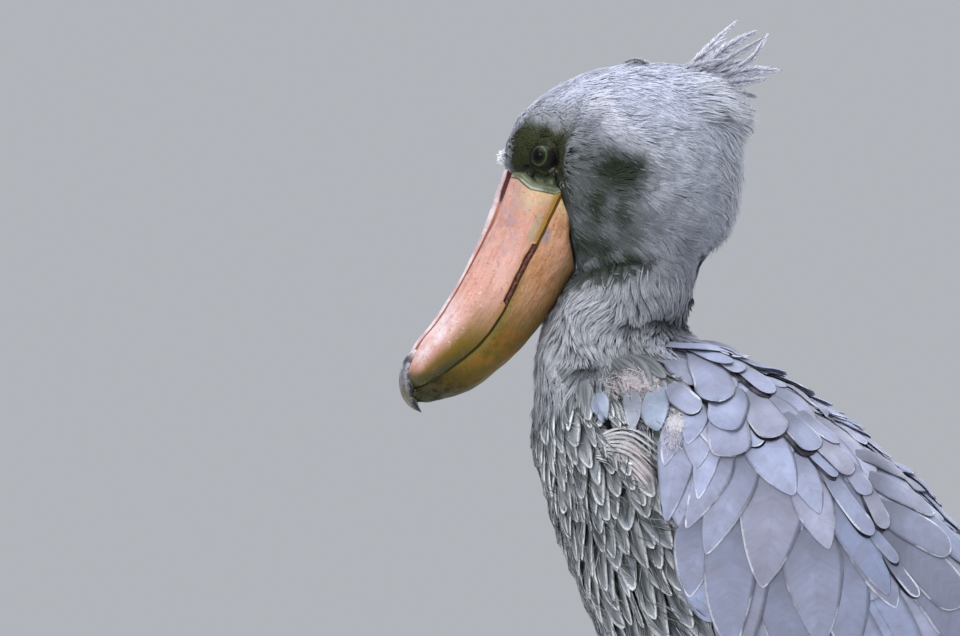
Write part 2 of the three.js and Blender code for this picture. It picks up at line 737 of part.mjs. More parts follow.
function clawBody(side, toe, grow = 0) {
  const { start, ahead, sideways } = toePlace(side, toe);
  const root = toe.length - 7;
  const height = through([5, 6, 5.5, 1.2]);
  const size = through([0, 3.6, 2.8, 0]);
  return skin(
    (t, angle, atEnd) => {
      const c = start.clone().addScaledVector(ahead, root + CLAW_LENGTH * t).setZ(height(t));
      if (atEnd) return c.addScaledVector(ahead, t < 0.5 ? -grow : grow);
      const r = size(t) + grow;
      const narrow = 0.8;
      c.addScaledVector(sideways, narrow * r * Math.cos(angle));
      return c.setZ(c.z + r * Math.sin(angle));
    },
    6,
    5,
  );
}

function legNodes(side, label) {
  const roundThigh = [trunkBody(GAP), wingWhole(side, GAP), shinBody(side, GAP)];
  const nodes = [
    node(`thigh_${label}`, cutBy(thighBody(side), roundThigh), BLUE_GREY, 0.8),
    node(`shin_${label}`, shinBody(side), LEG_GREY, 0.6),
    node(`tarsus_${label}`, cutBy(tarsusBody(side), [shinBody(side, GAP), floor]), LEG_GREY, 0.6),
  ];
  const taken = [tarsusBody(side, GAP)];
  for (const toe of TOES) {
    const made = cutBy(toeBody(side, toe), [...taken, clawBody(side, toe, GAP)]);
    nodes.push(node(`toe_${toe.name}_${label}`, made, LEG_GREY, 0.6));
    nodes.push(node(`claw_${toe.name}_${label}`, clawBody(side, toe), NAIL_GREY, 0.4));
    taken.push(toeBody(side, toe, GAP));
  }
  return nodes;
}

const bird = new THREE.Group();
bird.add(
  node("head", head(), PALE_GREY, 0.8),
  node("neck", neck(), PALE_GREY, 0.8),
  node("torso", torso(), BLUE_GREY, 0.8),
  node("tail", tail(), BLUE_GREY, 0.6),
  node("wing_left", wing(1), BLUE_GREY, 0.6),
  node("wing_right", wing(-1), BLUE_GREY, 0.6),
  node("eye_left", eyeBall(1), IRIS_GREY, 0.1),
  node("eye_right", eyeBall(-1), IRIS_GREY, 0.1),
  ...billNodes(),
  ...legNodes(1, "left"),
  ...legNodes(-1, "right"),
);

// The origin is on the floor, under the middle of the bird's own length and width.
const extents = new THREE.Box3().setFromObject(bird);
for (const mesh of bird.children) {
  mesh.geometry.translate(-(extents.min.x + extents.max.x) / 2, -(extents.min.y + extents.max.y) / 2, 0);
}

export default bird;
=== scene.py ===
"""A life-size shoebill: soft blue-grey plumage, a heavy pink and olive bill, dark scaled legs."""

import bmesh  # noqa: E402
import bpy  # noqa: E402
import numpy as np  # noqa: E402
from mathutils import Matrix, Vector  # noqa: E402
from mathutils.bvhtree import BVHTree  # noqa: E402

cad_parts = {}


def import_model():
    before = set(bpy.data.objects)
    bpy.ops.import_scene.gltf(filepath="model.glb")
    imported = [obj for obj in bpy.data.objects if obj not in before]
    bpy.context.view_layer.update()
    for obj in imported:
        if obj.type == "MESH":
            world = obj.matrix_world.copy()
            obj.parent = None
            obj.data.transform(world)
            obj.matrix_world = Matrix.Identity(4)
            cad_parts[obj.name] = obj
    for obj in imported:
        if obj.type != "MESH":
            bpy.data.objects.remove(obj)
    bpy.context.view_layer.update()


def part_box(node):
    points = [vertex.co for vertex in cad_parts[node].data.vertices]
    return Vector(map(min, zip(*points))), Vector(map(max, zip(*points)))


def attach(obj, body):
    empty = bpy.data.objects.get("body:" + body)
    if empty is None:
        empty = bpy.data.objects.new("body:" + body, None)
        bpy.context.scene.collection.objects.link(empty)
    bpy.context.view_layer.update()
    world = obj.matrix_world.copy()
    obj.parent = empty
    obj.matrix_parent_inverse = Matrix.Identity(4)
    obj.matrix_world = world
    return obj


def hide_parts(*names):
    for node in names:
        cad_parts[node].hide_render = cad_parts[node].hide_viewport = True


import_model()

# All shapes are worked out in millimetres in the part's own frame, before it is centred.
MM = 0.001
PER_METRE = 1000
CROWN = 1130
EYE = np.array([36.0, -193.0, CROWN - 90])
EYE_RADIUS = 13.0
EYE_TURN = 38
GAPE = np.array([-176.5, CROWN - 122])
BILL_PITCH = 52
BILL_HALF = 51.0
X = np.array([1.0, 0, 0])
Z = np.array([0, 0, 1.0])

# The part is moved so that the box of its nodes is centred. The eye's node tells by how much.
SOURCE_EYE_Y = -191.0
low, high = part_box("eye_left")
SHIFT = np.array([0, (low.y + high.y) / 2 * PER_METRE - SOURCE_EYE_Y, 0])

# The picture: its size, the millimetres that a pixel spans, and the column and row of y = 0 and z = 0.
PICTURE_WIDTH, PICTURE_HEIGHT = 960, 636
PIXEL = 0.92
MIDDLE_COLUMN = 755
FLOOR_ROW = 1288


def world(points):
    return (np.asarray(points) + SHIFT) * MM


def seen(px, py):
    """The y and z of a point of the picture, in millimetres."""
    return (np.asarray(px, float) - MIDDLE_COLUMN) * PIXEL, (FLOOR_ROW - np.asarray(py, float)) * PIXEL


def linear(r, g, b):
    """A picture's colour, from 0 to 255, as the linear one that materials take."""
    c = np.array([r, g, b], float) / 255
    return np.where(c < 0.04045, c / 12.92, ((c + 0.055) / 1.055) ** 2.4)


def lerp(a, b, t):
    return a + (b - a) * t


def step(low_edge, high_edge, value):
    """0 at the first edge and 1 at the second, with a soft start and end."""
    t = np.clip((value - low_edge) / (high_edge - low_edge), 0, 1)
    return t * t * (3 - 2 * t)


def unit(v):
    return v / np.maximum(np.linalg.norm(v, axis=-1, keepdims=True), 1e-9)


def curve(points):
    """A smooth curve through values, or points, spaced evenly from 0 to 1."""
    p = np.asarray(points, float)
    flat = p.ndim == 1
    p = p[:, None] if flat else p
    p = np.vstack([2 * p[0] - p[1], p, 2 * p[-1] - p[-2]])
    spans = len(p) - 3

    def at(t):
        t = np.clip(np.asarray(t, float), 0, 1) * spans
        i = np.minimum(t.astype(int), spans - 1)
        w = (t - i)[..., None]
        a, b, c, d = p[i], p[i + 1], p[i + 2], p[i + 3]
        m, n = (c - a) / 2, (d - b) / 2
        made = b + m * w + (3 * (c - b) - 2 * m - n) * w**2 + (2 * (b - c) + m + n) * w**3
        return made[..., 0] if flat else made

    return at


def waves(p, size, seed=0):
    """A smooth field from about -1 to 1 whose bumps are size millimetres across."""
    random = np.random.default_rng(seed)
    total = 0
    for _ in range(6):
        way = unit(random.normal(size=3))
        bumps = p @ way * (2 * np.pi / size) * random.uniform(0.6, 1.5)
        total = total + np.sin(bumps + random.uniform(0, 6.28))
    return total / 2.6


# Meshes
def outward(verts, faces):
    """The faces of closed surfaces, turned to look outwards."""
    a = verts[faces[:, 0]]
    volume = 0.0
    for i in range(1, faces.shape[1] - 1):
        volume += (a * np.cross(verts[faces[:, i]], verts[faces[:, i + 1]])).sum()
    return faces if volume > 0 else faces[:, ::-1]


def mesh_object(name, verts, faces):
    faces = np.ascontiguousarray(outward(verts - verts[0], np.asarray(faces, np.int32)))
    me = bpy.data.meshes.new(name)
    me.vertices.add(len(verts))
    me.vertices.foreach_set("co", world(verts).astype(np.float32).ravel())
    me.loops.add(faces.size)
    me.loops.foreach_set("vertex_index", faces.ravel())
    me.polygons.add(len(faces))
    me.polygons.foreach_set("loop_start", np.arange(0, faces.size, faces.shape[1], dtype=np.int32))
    me.update(calc_edges=True)
    me.polygons.foreach_set("use_smooth", np.full(len(faces), True))
    ob = bpy.data.objects.new(name, me)
    bpy.context.scene.collection.objects.link(ob)
    return ob


def point_value(ob, name, values):
    attribute = ob.data.attributes.new(name, "FLOAT", "POINT")
    attribute.data.foreach_set("value", np.asarray(values, np.float32).ravel())


def point_colour(ob, name, colours):
    attribute = ob.data.attributes.new(name, "FLOAT_COLOR", "POINT")
    full = np.ones((len(colours), 4), np.float32)
    full[:, :3] = colours
    attribute.data.foreach_set("color", full.ravel())


def bake_map(ob, uv):
    """The map that colours are baked on: uv holds one place for each vertex."""
    layer = ob.data.uv_layers.new(name="OFBake")
    index = np.zeros(len(ob.data.loops), np.int32)
    ob.data.loops.foreach_get("vertex_index", index)
    layer.data.foreach_set("uv", np.asarray(uv, np.float32)[index].ravel())


def place(ob, slot, material, *nodes):
    ob.data.materials.append(material)
    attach(ob, "root")
    if nodes:
        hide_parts(*nodes)


def sleeve(at, around, along):
    """A closed skin from at(t, angle), which takes and gives arrays. Its ends close in one point each."""
    t = np.linspace(0, 1, along + 1)[1:-1]
    angle = np.arange(around) / around * 2 * np.pi
    tt, aa = np.meshgrid(t, angle, indexing="ij")
    rings = at(tt.ravel(), aa.ravel())
    ends = [at(np.full(around, end), angle).mean(0) for end in (0.0, 1.0)]
    verts = np.vstack([rings, ends])
    i, j = np.meshgrid(np.arange(along - 2), np.arange(around), indexing="ij")
    i, j = i.ravel(), j.ravel()
    k = (j + 1) % around
    quads = np.stack([i * around + j, i * around + k, (i + 1) * around + k, (i + 1) * around + j], 1)
    first, last = len(rings), len(rings) + 1
    j = np.arange(around)
    k = (j + 1) % around
    top = (along - 2) * around
    caps = np.vstack(
        [
            np.stack([np.full(around, first), k, j], 1),
            np.stack([np.full(around, last), top + j, top + k], 1),
        ]
    )
    tris = np.vstack([quads[:, [0, 1, 2]], quads[:, [0, 2, 3]], caps])
    return verts, tris


# The bird's own forms
class Body:
    """A body along stations of y, z, half width, up and down."""

    def __init__(self, stations, back=None):
        s = np.array(stations, float)
        self.centre = curve(np.column_stack([np.zeros(len(s)), s[:, 0], s[:, 1]]))
        self.size = curve(s[:, 2:])
        self.back = back

    def frame(self, t):
        tangent = unit(self.centre(t + 0.01) - self.centre(t - 0.01))
        if self.back is not None:
            return self.centre(t), np.broadcast_to(self.back, tangent.shape)
        square = np.stack([np.zeros_like(t), -tangent[..., 2], tangent[..., 1]], -1)
        return self.centre(t), unit(square)

    def at(self, t, angle, grow=0.0, x=0.0):
        t = np.asarray(t, float)
        c, back = self.frame(t)
        size = self.size(t)
        rise, out = np.sin(angle), np.cos(angle)
        ends = np.minimum(1, np.minimum(t, 1 - t) * 40)
        tall = np.where(rise > 0, size[..., 1], size[..., 2])
        wide = np.maximum(size[..., 0] + grow, 0.5) * ends
        tall = np.maximum(tall + grow, 0.5) * ends
        return c + X * (wide * out + x)[..., None] + back * (tall * rise)[..., None]

    def mesh(self, around, along, grow=0.0, x=0.0):
        return sleeve(lambda t, a: self.at(t, a, grow, x), around, along)


TRUNK_STATIONS = [
    [-158, 888, 0, 0, 0],
    [-133, 854, 76, 60, 82],
    [-101, 808, 101, 88, 107],
    [-64, 760, 117, 116, 123],
    [-20, 702, 127, 140, 145],
    [32, 642, 129, 148, 150],
    [92, 578, 117, 148, 138],
    [152, 514, 92, 126, 106],
    [207, 458, 62, 88, 72],
    [250, 414, 34, 46, 40],
    [274, 390, 0, 0, 0],
]
WING_STATIONS = TRUNK_STATIONS[:8] + [
    [207, 458, 74, 112, 78],
    [253, 412, 58, 88, 62],
    [300, 367, 44, 62, 48],
    [347, 323, 32, 40, 36],
    [396, 278, 20, 24, 26],
]
LAST = len(WING_STATIONS) - 1
HEAD_STATIONS = [
    [-231, CROWN - 92, 0, 0, 0],
    [-226, CROWN - 88, 24, 20, 16],
    [-212, CROWN - 88, 37, 44, 34],
    [-190, CROWN - 92, 45, 66, 58],
    [-170, CROWN - 97, 60, 82, 78],
    [-140, CROWN - 103, 74, 98, 94],
    [-105, CROWN - 104, 79, 103, 98],
    [-65, CROWN - 102, 74, 99, 94],
    [-40, CROWN - 100, 60, 83, 78],
    [-21, CROWN - 99, 40, 57, 52],
    [-12, CROWN - 99, 0, 0, 0],
]
NECK_STATIONS = [
    [-88, CROWN - 130, 0, 0, 0],
    [-92, CROWN - 145, 60, 50, 50],
    [-108, CROWN - 185, 64, 60, 56],
    [-120, CROWN - 222, 62, 62, 62],
    [-128, CROWN - 262, 72, 68, 73],
    [-126, CROWN - 296, 86, 78, 80],
    [-118, CROWN - 322, 88, 80, 82],
    [-110, CROWN - 336, 0, 0, 0],
]
trunk = Body(TRUNK_STATIONS)
wing_line = Body(WING_STATIONS)
head_form = Body(HEAD_STATIONS, Z)
neck_form = Body(NECK_STATIONS)


def over_body(k, phi, height):
    """A point over the folded bird: k counts stations from the neck, phi is degrees up from its side."""
    t = np.asarray(k, float) / LAST
    c, back = wing_line.frame(t)
    size = wing_line.size(t)
    angle = np.radians(phi)
    rise = np.sin(angle)
    tall = np.where(rise > 0, size[..., 1], size[..., 2])
    wide = size[..., 0] + height
    return c + X * (wide * np.cos(angle))[..., None] + back * ((tall + height) * rise)[..., None]


# The folded wing: its first and last station, and along it the angles of its edges and its thickness.
WING_FROM, WING_TO = 2.1, 9.6
wing_low = curve([14, -2, -11, -14, -14, -10, -4, 2, 8])
wing_high = curve([40, 58, 64, 67, 72, 78, 83, 84, 82])
wing_thick = curve([8, 14, 17, 17, 16, 14, 11, 8, 6])


def wing_edges(k):
    t = np.clip((k - WING_FROM) / (WING_TO - WING_FROM), 0, 1)
    return wing_low(t), wing_high(t)


def wing_shell(side):
    sunk = 8

    def at(t, angle):
        k = lerp(WING_FROM, WING_TO, t)
        phi = lerp(wing_low(t), wing_high(t), (1 - np.cos(angle)) / 2)
        taper = np.sin(np.pi * np.clip(t, 0, 1)) ** 0.3
        rise = np.maximum(np.sin(angle), 0) ** 0.5 * (wing_thick(t) * taper * 0.9 + sunk)
        p = over_body(k, phi, rise - sunk)
        p[..., 0] *= side
        return p

    return sleeve(at, 40, 60)


# Bill: a runs along the mouth from its corner, d rises square to it. The curves go from behind the corner to
# the tip: the heights of ridge, mouth and chin, and the share of the full half width.
PITCH = np.radians(BILL_PITCH)
BILL_ALONG = np.array([0, -np.cos(PITCH), -np.sin(PITCH)])
BILL_UP = np.array([0, -np.sin(PITCH), np.cos(PITCH)])
BILL_BASE = 34.0
BILL_END = 232.0
UPPER_TIP = 227
LOWER_TIP = 235
ridge_line = curve([61, 61, 50.5, 39, 30.5, 24.5, 21.5, 21, 9])
mouth_curve = curve([1, 0, -7, -13.5, -20, -26, -24.5, -16, -3])
chin_line = curve([-14, -36, -50, -55, -58, -58, -53, -43, -19])
bill_width = curve([0.78, 0.84, 0.9, 0.95, 1, 1, 0.9, 0.66, 0.25])


def mouth_line(share):
    """Height of the closed lips, a little uneven as worn horn is."""
    return mouth_curve(share) + 0.25 * np.sin(share * 33) + 0.13 * np.sin(share * 83 + 1)


def in_bill(x, a, d):
    x, a, d = np.broadcast_arrays(x, a, d)
    origin = np.array([0, *GAPE])
    return origin + X * x[..., None] + BILL_ALONG * a[..., None] + BILL_UP * d[..., None]


def to_bill(p):
    rel = p - np.array([0, *GAPE])
    return np.abs(p[..., 0]), rel @ BILL_ALONG, rel @ BILL_UP


def bill_share(a):
    return (a + BILL_BASE) / (BILL_END + BILL_BASE)


# Where the plumage ends and the horn begins, as a against d, for the upper and the lower bill.
UPPER_EDGE = ([-2, 2, 5, 15, 25, 32, 40, 51, 58, 64], [-3, -2.4, 2.9, 7.8, 12.8, 13, 12.1, 17.2, 18, 18])
LOWER_EDGE = ([-60, -46, -30, -16, -5, 0], [60, 45, 32.5, 13.6, 3, 0])


def keel_width(a):
    return lerp(6.5, 4.3, step(30, 150, a))


def keel_height(a):
    return lerp(7.0, 3.4, step(30, 120, a)) * step(232, 205, a) * step(-30, -10, a)


def upper_section(a, angle, grow=0.0):
    """Half width and height of the upper bill's cross-section."""
    share = bill_share(a)
    ridge, mouth = ridge_line(share) + grow, mouth_line(share) - grow
    up, out = np.sin(angle), np.cos(angle)
    half = bill_width(share) * BILL_HALF + grow
    x = half * np.sign(out) * np.abs(out) ** np.where(up < 0, 0.2, 0.75)
    wall = mouth + 1.8
    near = np.abs(x) / keel_width(a)
    keel = keel_height(a) * np.exp(-(near**4))
    groove = -0.3 * keel_height(a) * np.exp(-(((near - 1.6) / 0.4) ** 2))
    top = lerp(wall, ridge - keel_height(a), np.abs(up)) + keel + groove
    d = np.where(up > 0, top, lerp(wall, mouth, -up))
    return x, d


def lower_section(a, angle, grow=0.0):
    share = bill_share(a)
    mouth, chin = mouth_line(share) + grow, chin_line(share) - grow
    up, out = np.sin(angle), np.cos(angle)
    half = bill_width(share) * BILL_HALF * 0.97 + grow
    x = half * np.sign(out) * np.abs(out) ** np.where(up > 0, 0.2, 0.7)
    lip = mouth - 1.2
    d = np.where(up > 0, lerp(lip, mouth, np.abs(up) ** 0.6), lerp(lip, chin, np.abs(up) ** 1.2))
    return x, d


def edge_start(section, edge, angle):
    """How far along the bill the plumage ends, for each angle of the cross-section."""
    a = np.full(np.shape(angle), 8.0)
    for _ in range(6):
        a = lerp(a, np.interp(section(a, angle)[1], *edge), 0.6)
    return a


def bill_root(section, edge, grow):
    """The flesh round the back of the bill, out to the edge of the plumage."""

    def at(t, angle):
        a = lerp(-30, edge_start(section, edge, angle) - 1.0, t)
        x, d = section(a, angle, grow)
        ends = np.minimum(1, np.minimum(t * 12, (1 - t) * 60))
        middle = 18 if section is upper_section else -22
        return in_bill(x * ends, a, lerp(middle, d, ends))

    return sleeve(at, 72, 40)


def horn(section, edge, end):
    """The horn from under the edge of the plumage to its tip."""

    def at(t, angle):
        start = edge_start(section, edge, angle) - 7
        a = lerp(start, end, t)
        tuck = step(6.5, 2.0, a - start)
        x, d = section(a, angle, -4.5 * tuck)
        blunt = 1 - np.minimum((1 - t) * 22, 1)
        ends = np.minimum(np.minimum(t * 90, 1), np.sqrt(np.maximum(1 - blunt**2, 0)))
        share = bill_share(a)
        closing = mouth_line(share)
        if section is lower_section:
            closing = lerp(closing, chin_line(share), 0.45)
        return in_bill(x * ends, a, lerp(closing, d, ends))

    return at


# Skin: one closed surface under all the plumage
FOOT_X, FOOT_Y, HOCK = 74, 6, 262
# The thigh: x, y and z of its middle, half width, and depth before and behind.
thigh_form = curve(
    [
        [FOOT_X * 0.6, 20, 610, 0, 0, 0],
        [FOOT_X * 0.66, 20, 580, 34, 44, 44],
        [FOOT_X * 0.8, 20, 510, 42, 56, 58],
        [FOOT_X * 0.93, 26, 436, 36, 46, 45],
        [FOOT_X, 33, 374, 23, 27, 26],
        [FOOT_X, 37, 342, 15, 16, 16],
        [FOOT_X, 37, 334, 0, 0, 0],
    ]
)


def thigh_at(t, angle, grow=0.0):
    s = thigh_form(t)
    ends = np.minimum(1, np.minimum(t, 1 - t) * 30)
    out, rise = np.cos(angle), np.sin(angle)
    tall = np.where(rise > 0, s[..., 4], s[..., 5])
    x = s[..., 0] + np.maximum(s[..., 3] + grow, 0.5) * ends * out
    y = s[..., 1] + np.maximum(tall + grow, 0.5) * ends * rise
    return np.stack([x, y, s[..., 2]], -1)


TAIL_ROOT = np.array([0, 222.0, 408.0])
TAIL_PITCH = np.radians(44)
TAIL_ALONG = np.array([0, np.cos(TAIL_PITCH), -np.sin(TAIL_PITCH)])


def tail_core():
    """The flesh at the root of the tail: distance along it, half width, and depth above and below."""
    marks = [(-30, 0, 0, 0), (-12, 30, 18, 20), (20, 31, 12, 15), (60, 27, 5, 7), (95, 0, 0, 0)]
    rows = [[*(TAIL_ROOT + TAIL_ALONG * m[0])[1:], *m[1:]] for m in marks]
    return Body(rows).mesh(40, 30)


def joined(parts):
    verts, faces, count = [], [], 0
    for v, f in parts:
        verts.append(v)
        faces.append(f + count)
        count += len(v)
    return np.vstack(verts), np.vstack(faces)


def eye_frame(side):
    turn = np.radians(EYE_TURN)
    looks = unit(np.array([side * np.cos(turn), -np.sin(turn), 0.12]))
    level = unit(np.cross(Z, looks))
    return EYE * [side, 1, 1], looks, level, np.cross(looks, level)


# Forms of the head and neck, in pixels of the picture: lines, and folds with their half width and height.
BASE_BAND = [(521, 174), (530, 180), (541, 184), (552, 186), (561, 187)]
NECK_FOLDS = [
    (662, 318, 13, 9),
    (632, 322, 12, 5),
    (584, 364, 16, 9),
    (590, 400, 9, 12),
    (660, 408, 8, 10),
    (600, 431, 12, 6),
]
CHEEK_RIDGE = [(590, 108), (606, 124), (626, 142), (642, 164), (648, 188)]
EAR_HOLLOW = (612, 172)
JAW_LINE = [(543, 312), (556, 290), (575, 274), (600, 263), (632, 256)]
# The raised front edge of the cheek's plumage: its y for each z.
CHEEK_EDGE = ([990, 1008, 1031, 1050, 1076, 1102, 1115], [-172, -175, -177, -175, -165, -152, -140])


def relief(p):
    """How far the skin stands out or sinks at a point, in millimetres."""
    y, z = p[:, 1], p[:, 2]
    side = step(10, 30, np.abs(p[:, 0]))
    behind = y - np.interp(z, *CHEEK_EDGE)
    raised = step(-3, 5, behind) * step(70, 20, behind) * step(985, 1010, z) * step(1112, 1085, z)
    sunk = step(0, -8, behind) * step(-30, -14, behind) * step(1000, 1015, z) * step(1095, 1070, z)
    hy, hz = seen(*EAR_HOLLOW)
    hollow = np.exp(-(((y - hy) / 17) ** 2) - (((z - hz) / 16) ** 2))
    brow = np.exp(-(((y + 196) / 16) ** 2) - (((z - 1064) / 8) ** 2))
    jaw = near_line(p, JAW_LINE, 10)
    for fold in NECK_FOLDS:
        jaw = jaw + blob(p, *fold, 1.4)
    ridge = near_line(p, CHEEK_RIDGE, 17)
    return side * (4 * raised - 3 * sunk - 7 * hollow + 3.5 * brow - 6 * jaw + 5 * ridge)


def smoothed(verts, edges, rounds):
    """Each point drawn half way to the mean of its neighbours, some rounds long."""
    count = np.bincount(edges.ravel(), minlength=len(verts))[:, None]
    for _ in range(rounds):
        total = np.zeros_like(verts)
        for axis in range(3):
            total[:, axis] = np.bincount(edges[:, 0], verts[edges[:, 1], axis], len(verts))
            total[:, axis] += np.bincount(edges[:, 1], verts[edges[:, 0], axis], len(verts))
        verts = lerp(verts, total / np.maximum(count, 1), 0.5)
    return verts


def mesh_arrays(me):
    verts = np.zeros(len(me.vertices) * 3, np.float32)
    me.vertices.foreach_get("co", verts)
    edges = np.zeros(len(me.edges) * 2, np.int32)
    me.edges.foreach_get("vertices", edges)
    return verts.reshape(-1, 3).astype(float) * PER_METRE - SHIFT, edges.reshape(-1, 2)


def set_verts(me, verts):
    me.vertices.foreach_set("co", world(verts).astype(np.float32).ravel())
    me.update()


def vertex_normals(me):
    normals = np.zeros(len(me.vertices) * 3, np.float32)
    me.vertices.foreach_get("normal", normals)
    return normals.reshape(-1, 3).astype(float)


LID_REACH = 40
LID_OPENING = 53


def lids(verts):
    """Draws the skin up round each eyeball as an upper and a lower lid. Angles are off the eye's own way."""
    for side in (1, -1):
        centre, looks, level, rise = eye_frame(side)
        rel = verts - centre
        dist = np.linalg.norm(rel, axis=1)
        way = rel / np.maximum(dist, 1e-6)[:, None]
        off = np.degrees(np.arccos(np.clip(way @ looks, -1, 1)))
        turn = np.arctan2(way @ rise, way @ level)
        past = off - (LID_OPENING + 2.5 * np.cos(2 * turn))
        inside = EYE_RADIUS - 2.5
        rim = EYE_RADIUS + 0.5 + 2.0 * step(0, 9, past) + 1.2 * step(9, 30, past)
        folds = 0.55 * np.sin(past * 0.42) * step(6, 16, past) * step(70, 40, past)
        wanted = np.where(past < 0, inside, rim + folds)
        share = step(78, 40, past) * (dist < LID_REACH)
        new = centre + way * lerp(dist, wanted, share)[:, None]
        near = (dist < LID_REACH) & (off < 130)
        verts = np.where(near[:, None], new, verts)
    return verts


SKIN_VOXEL = 3.52
FINE_FACE = 34


def make_skin():
    """The flesh forms, sunk by the depth of their coat and remeshed as one closed surface."""
    parts = [
        trunk.mesh(64, 50, -4),
        neck_form.mesh(48, 30, -6),
        head_form.mesh(64, 50, -5),
        wing_shell(1),
        wing_shell(-1),
        tail_core(),
        bill_root(upper_section, UPPER_EDGE, 2.2),
        bill_root(lower_section, LOWER_EDGE, 1.8),
    ]
    for side in (1, -1):
        verts, faces = sleeve(lambda t, a: thigh_at(t, a, -6), 40, 30)
        parts.append((verts * [side, 1, 1], faces if side > 0 else faces[:, ::-1]))
    rough = mesh_object("rough", *joined(parts))
    remesh = rough.modifiers.new("remesh", "REMESH")
    remesh.mode = "VOXEL"
    remesh.voxel_size = SKIN_VOXEL * MM
    graph = bpy.context.evaluated_depsgraph_get()
    me = bpy.data.meshes.new_from_object(rough.evaluated_get(graph))
    bpy.data.objects.remove(rough)
    verts, edges = mesh_arrays(me)
    verts = smoothed(verts, edges, 5)
    set_verts(me, verts)
    verts = verts + vertex_normals(me) * relief(verts)[:, None]
    verts = smoothed(verts, edges, 2)
    set_verts(me, verts)
    finer_face(me)
    set_verts(me, lids(mesh_arrays(me)[0]))
    me.polygons.foreach_set("use_smooth", np.full(len(me.polygons), True))
    ob = bpy.data.objects.new("skin", me)
    bpy.context.scene.collection.objects.link(ob)
    return ob


def finer_face(me):
    """Splits the faces round the eyes, so that the lids have enough of them."""
    bm = bmesh.new()
    bm.from_mesh(me)
    centres = [Vector(world(EYE * [side, 1, 1])) for side in (1, -1)]
    near = [e for e in bm.edges if min((e.verts[0].co - c).length for c in centres) < FINE_FACE * MM]
    bmesh.ops.subdivide_edges(bm, edges=near, cuts=3, use_grid_fill=True)
    bmesh.ops.triangulate(bm, faces=[f for f in bm.faces if len(f.verts) > 4])
    bm.to_mesh(me)
    bm.free()


# Markings, the same for skin and coat
# Painted light: the crown's grey is paler and bluer than the head's, as the light from above falls on it.
CROWN_LIT_GREY = linear(172, 175, 193)
HEAD_GREY = linear(170, 173, 186)
CHEEK_SHADE = linear(64, 74, 62)
LORE_SHADE = linear(44, 50, 10)
FACE_GREY = linear(138, 140, 147)
RIDGE_HIGHLIGHT = linear(184, 185, 197)
NECK_GREY = linear(166, 168, 176)
BREAST_GREY = linear(140, 144, 150)
SHADOW_GREY = linear(34, 44, 24)
FOLD_SHADE = linear(48, 52, 54)
CREAM = linear(190, 190, 164)
BAND_GREEN = linear(106, 120, 94)
EYE_PINK = linear(126, 110, 110)
MANTLE_GREY = linear(150, 155, 178)
DOWN_WHITE = linear(206, 200, 200)
BELLY_GREY = linear(176, 178, 184)


def blob(p, px, py, wide, tall, soft=1.0):
    """1 at a place of the picture, 0 past an oval round it. All but soft, its rim's share, are pixels."""
    y, z = seen(px, py)
    r = np.sqrt(((p[:, 1] - y) / (wide * PIXEL)) ** 2 + ((p[:, 2] - z) / (tall * PIXEL)) ** 2)
    return step(1 + 0.5 * soft, 1 - 0.5 * soft, r)


def near_line(p, points, width):
    """1 on a line of picture points, fading to 0 at width pixels away."""
    y, z = seen(*np.array(points, float).T)
    best = np.full(len(p), 1e9)
    for i in range(len(y) - 1):
        a = np.array([y[i], z[i]])
        b = np.array([y[i + 1], z[i + 1]])
        t = np.clip(((p[:, 1:] - a) @ (b - a)) / ((b - a) @ (b - a)), 0, 1)
        best = np.minimum(best, np.linalg.norm(p[:, 1:] - a - t[:, None] * (b - a), axis=1))
    return step(width * PIXEL, width * 0.45, best)


def ahead_of_cheek(p):
    """1 on the short-feathered face before the raised edge of the cheek."""
    behind = p[:, 1] - np.interp(p[:, 2], *CHEEK_EDGE)
    return step(1.5, -2, behind) * step(988, 996, p[:, 2])


def mix(base, colour, share):
    return lerp(base, np.broadcast_to(colour, base.shape), np.clip(share, 0, 1)[:, None])


# Dark and pale patches of the plumage, in the order in which they are laid: colour, share, then place, half
# width, half height and softness in the picture, and 1 where a cloudy field breaks the patch up. The dark
# ones are painted shade, on the lower cheek, in the hollow behind the eye and in the folds of the neck; the
# white ones are pale down.
CHEEK_PATCHES = [
    (CHEEK_SHADE, 0.9, 592, 216, 38, 56, 1.3, 1),
    (CHEEK_SHADE, 0.5, 640, 240, 56, 40, 1.6, 1),
    (CHEEK_SHADE, 0.6, 588, 158, 26, 20, 1.2, 1),
]
SHADOW_PATCHES = [
    (SHADOW_GREY, 0.75, 606, 172, 34, 28, 1.6, 0),
    (SHADOW_GREY, 0.9, 614, 168, 24, 19, 1.3, 0),
    (SHADOW_GREY, 0.6, 592, 226, 20, 26, 1.2, 1),
]
# The FOLD_SHADE rows are painted shade in the neck's folds and hollows; the DOWN_WHITE rows are pale down.
NECK_PATCHES = [(FOLD_SHADE, 0.8, *fold, 1.4, 0) for fold in NECK_FOLDS] + [
    (FOLD_SHADE, 0.6, 640, 330, 62, 34, 1.6, 1),
    (FOLD_SHADE, 0.4, 596, 366, 16, 12, 1.4, 0),
    (FOLD_SHADE, 0.6, 634, 351, 16, 6, 1.2, 0),
    (DOWN_WHITE, 0.9, 636, 381, 26, 9, 1.2, 0),
    (DOWN_WHITE, 0.8, 676, 424, 12, 10, 1.2, 0),
]
EYE_CORNER = (552, 170, 5, 4)


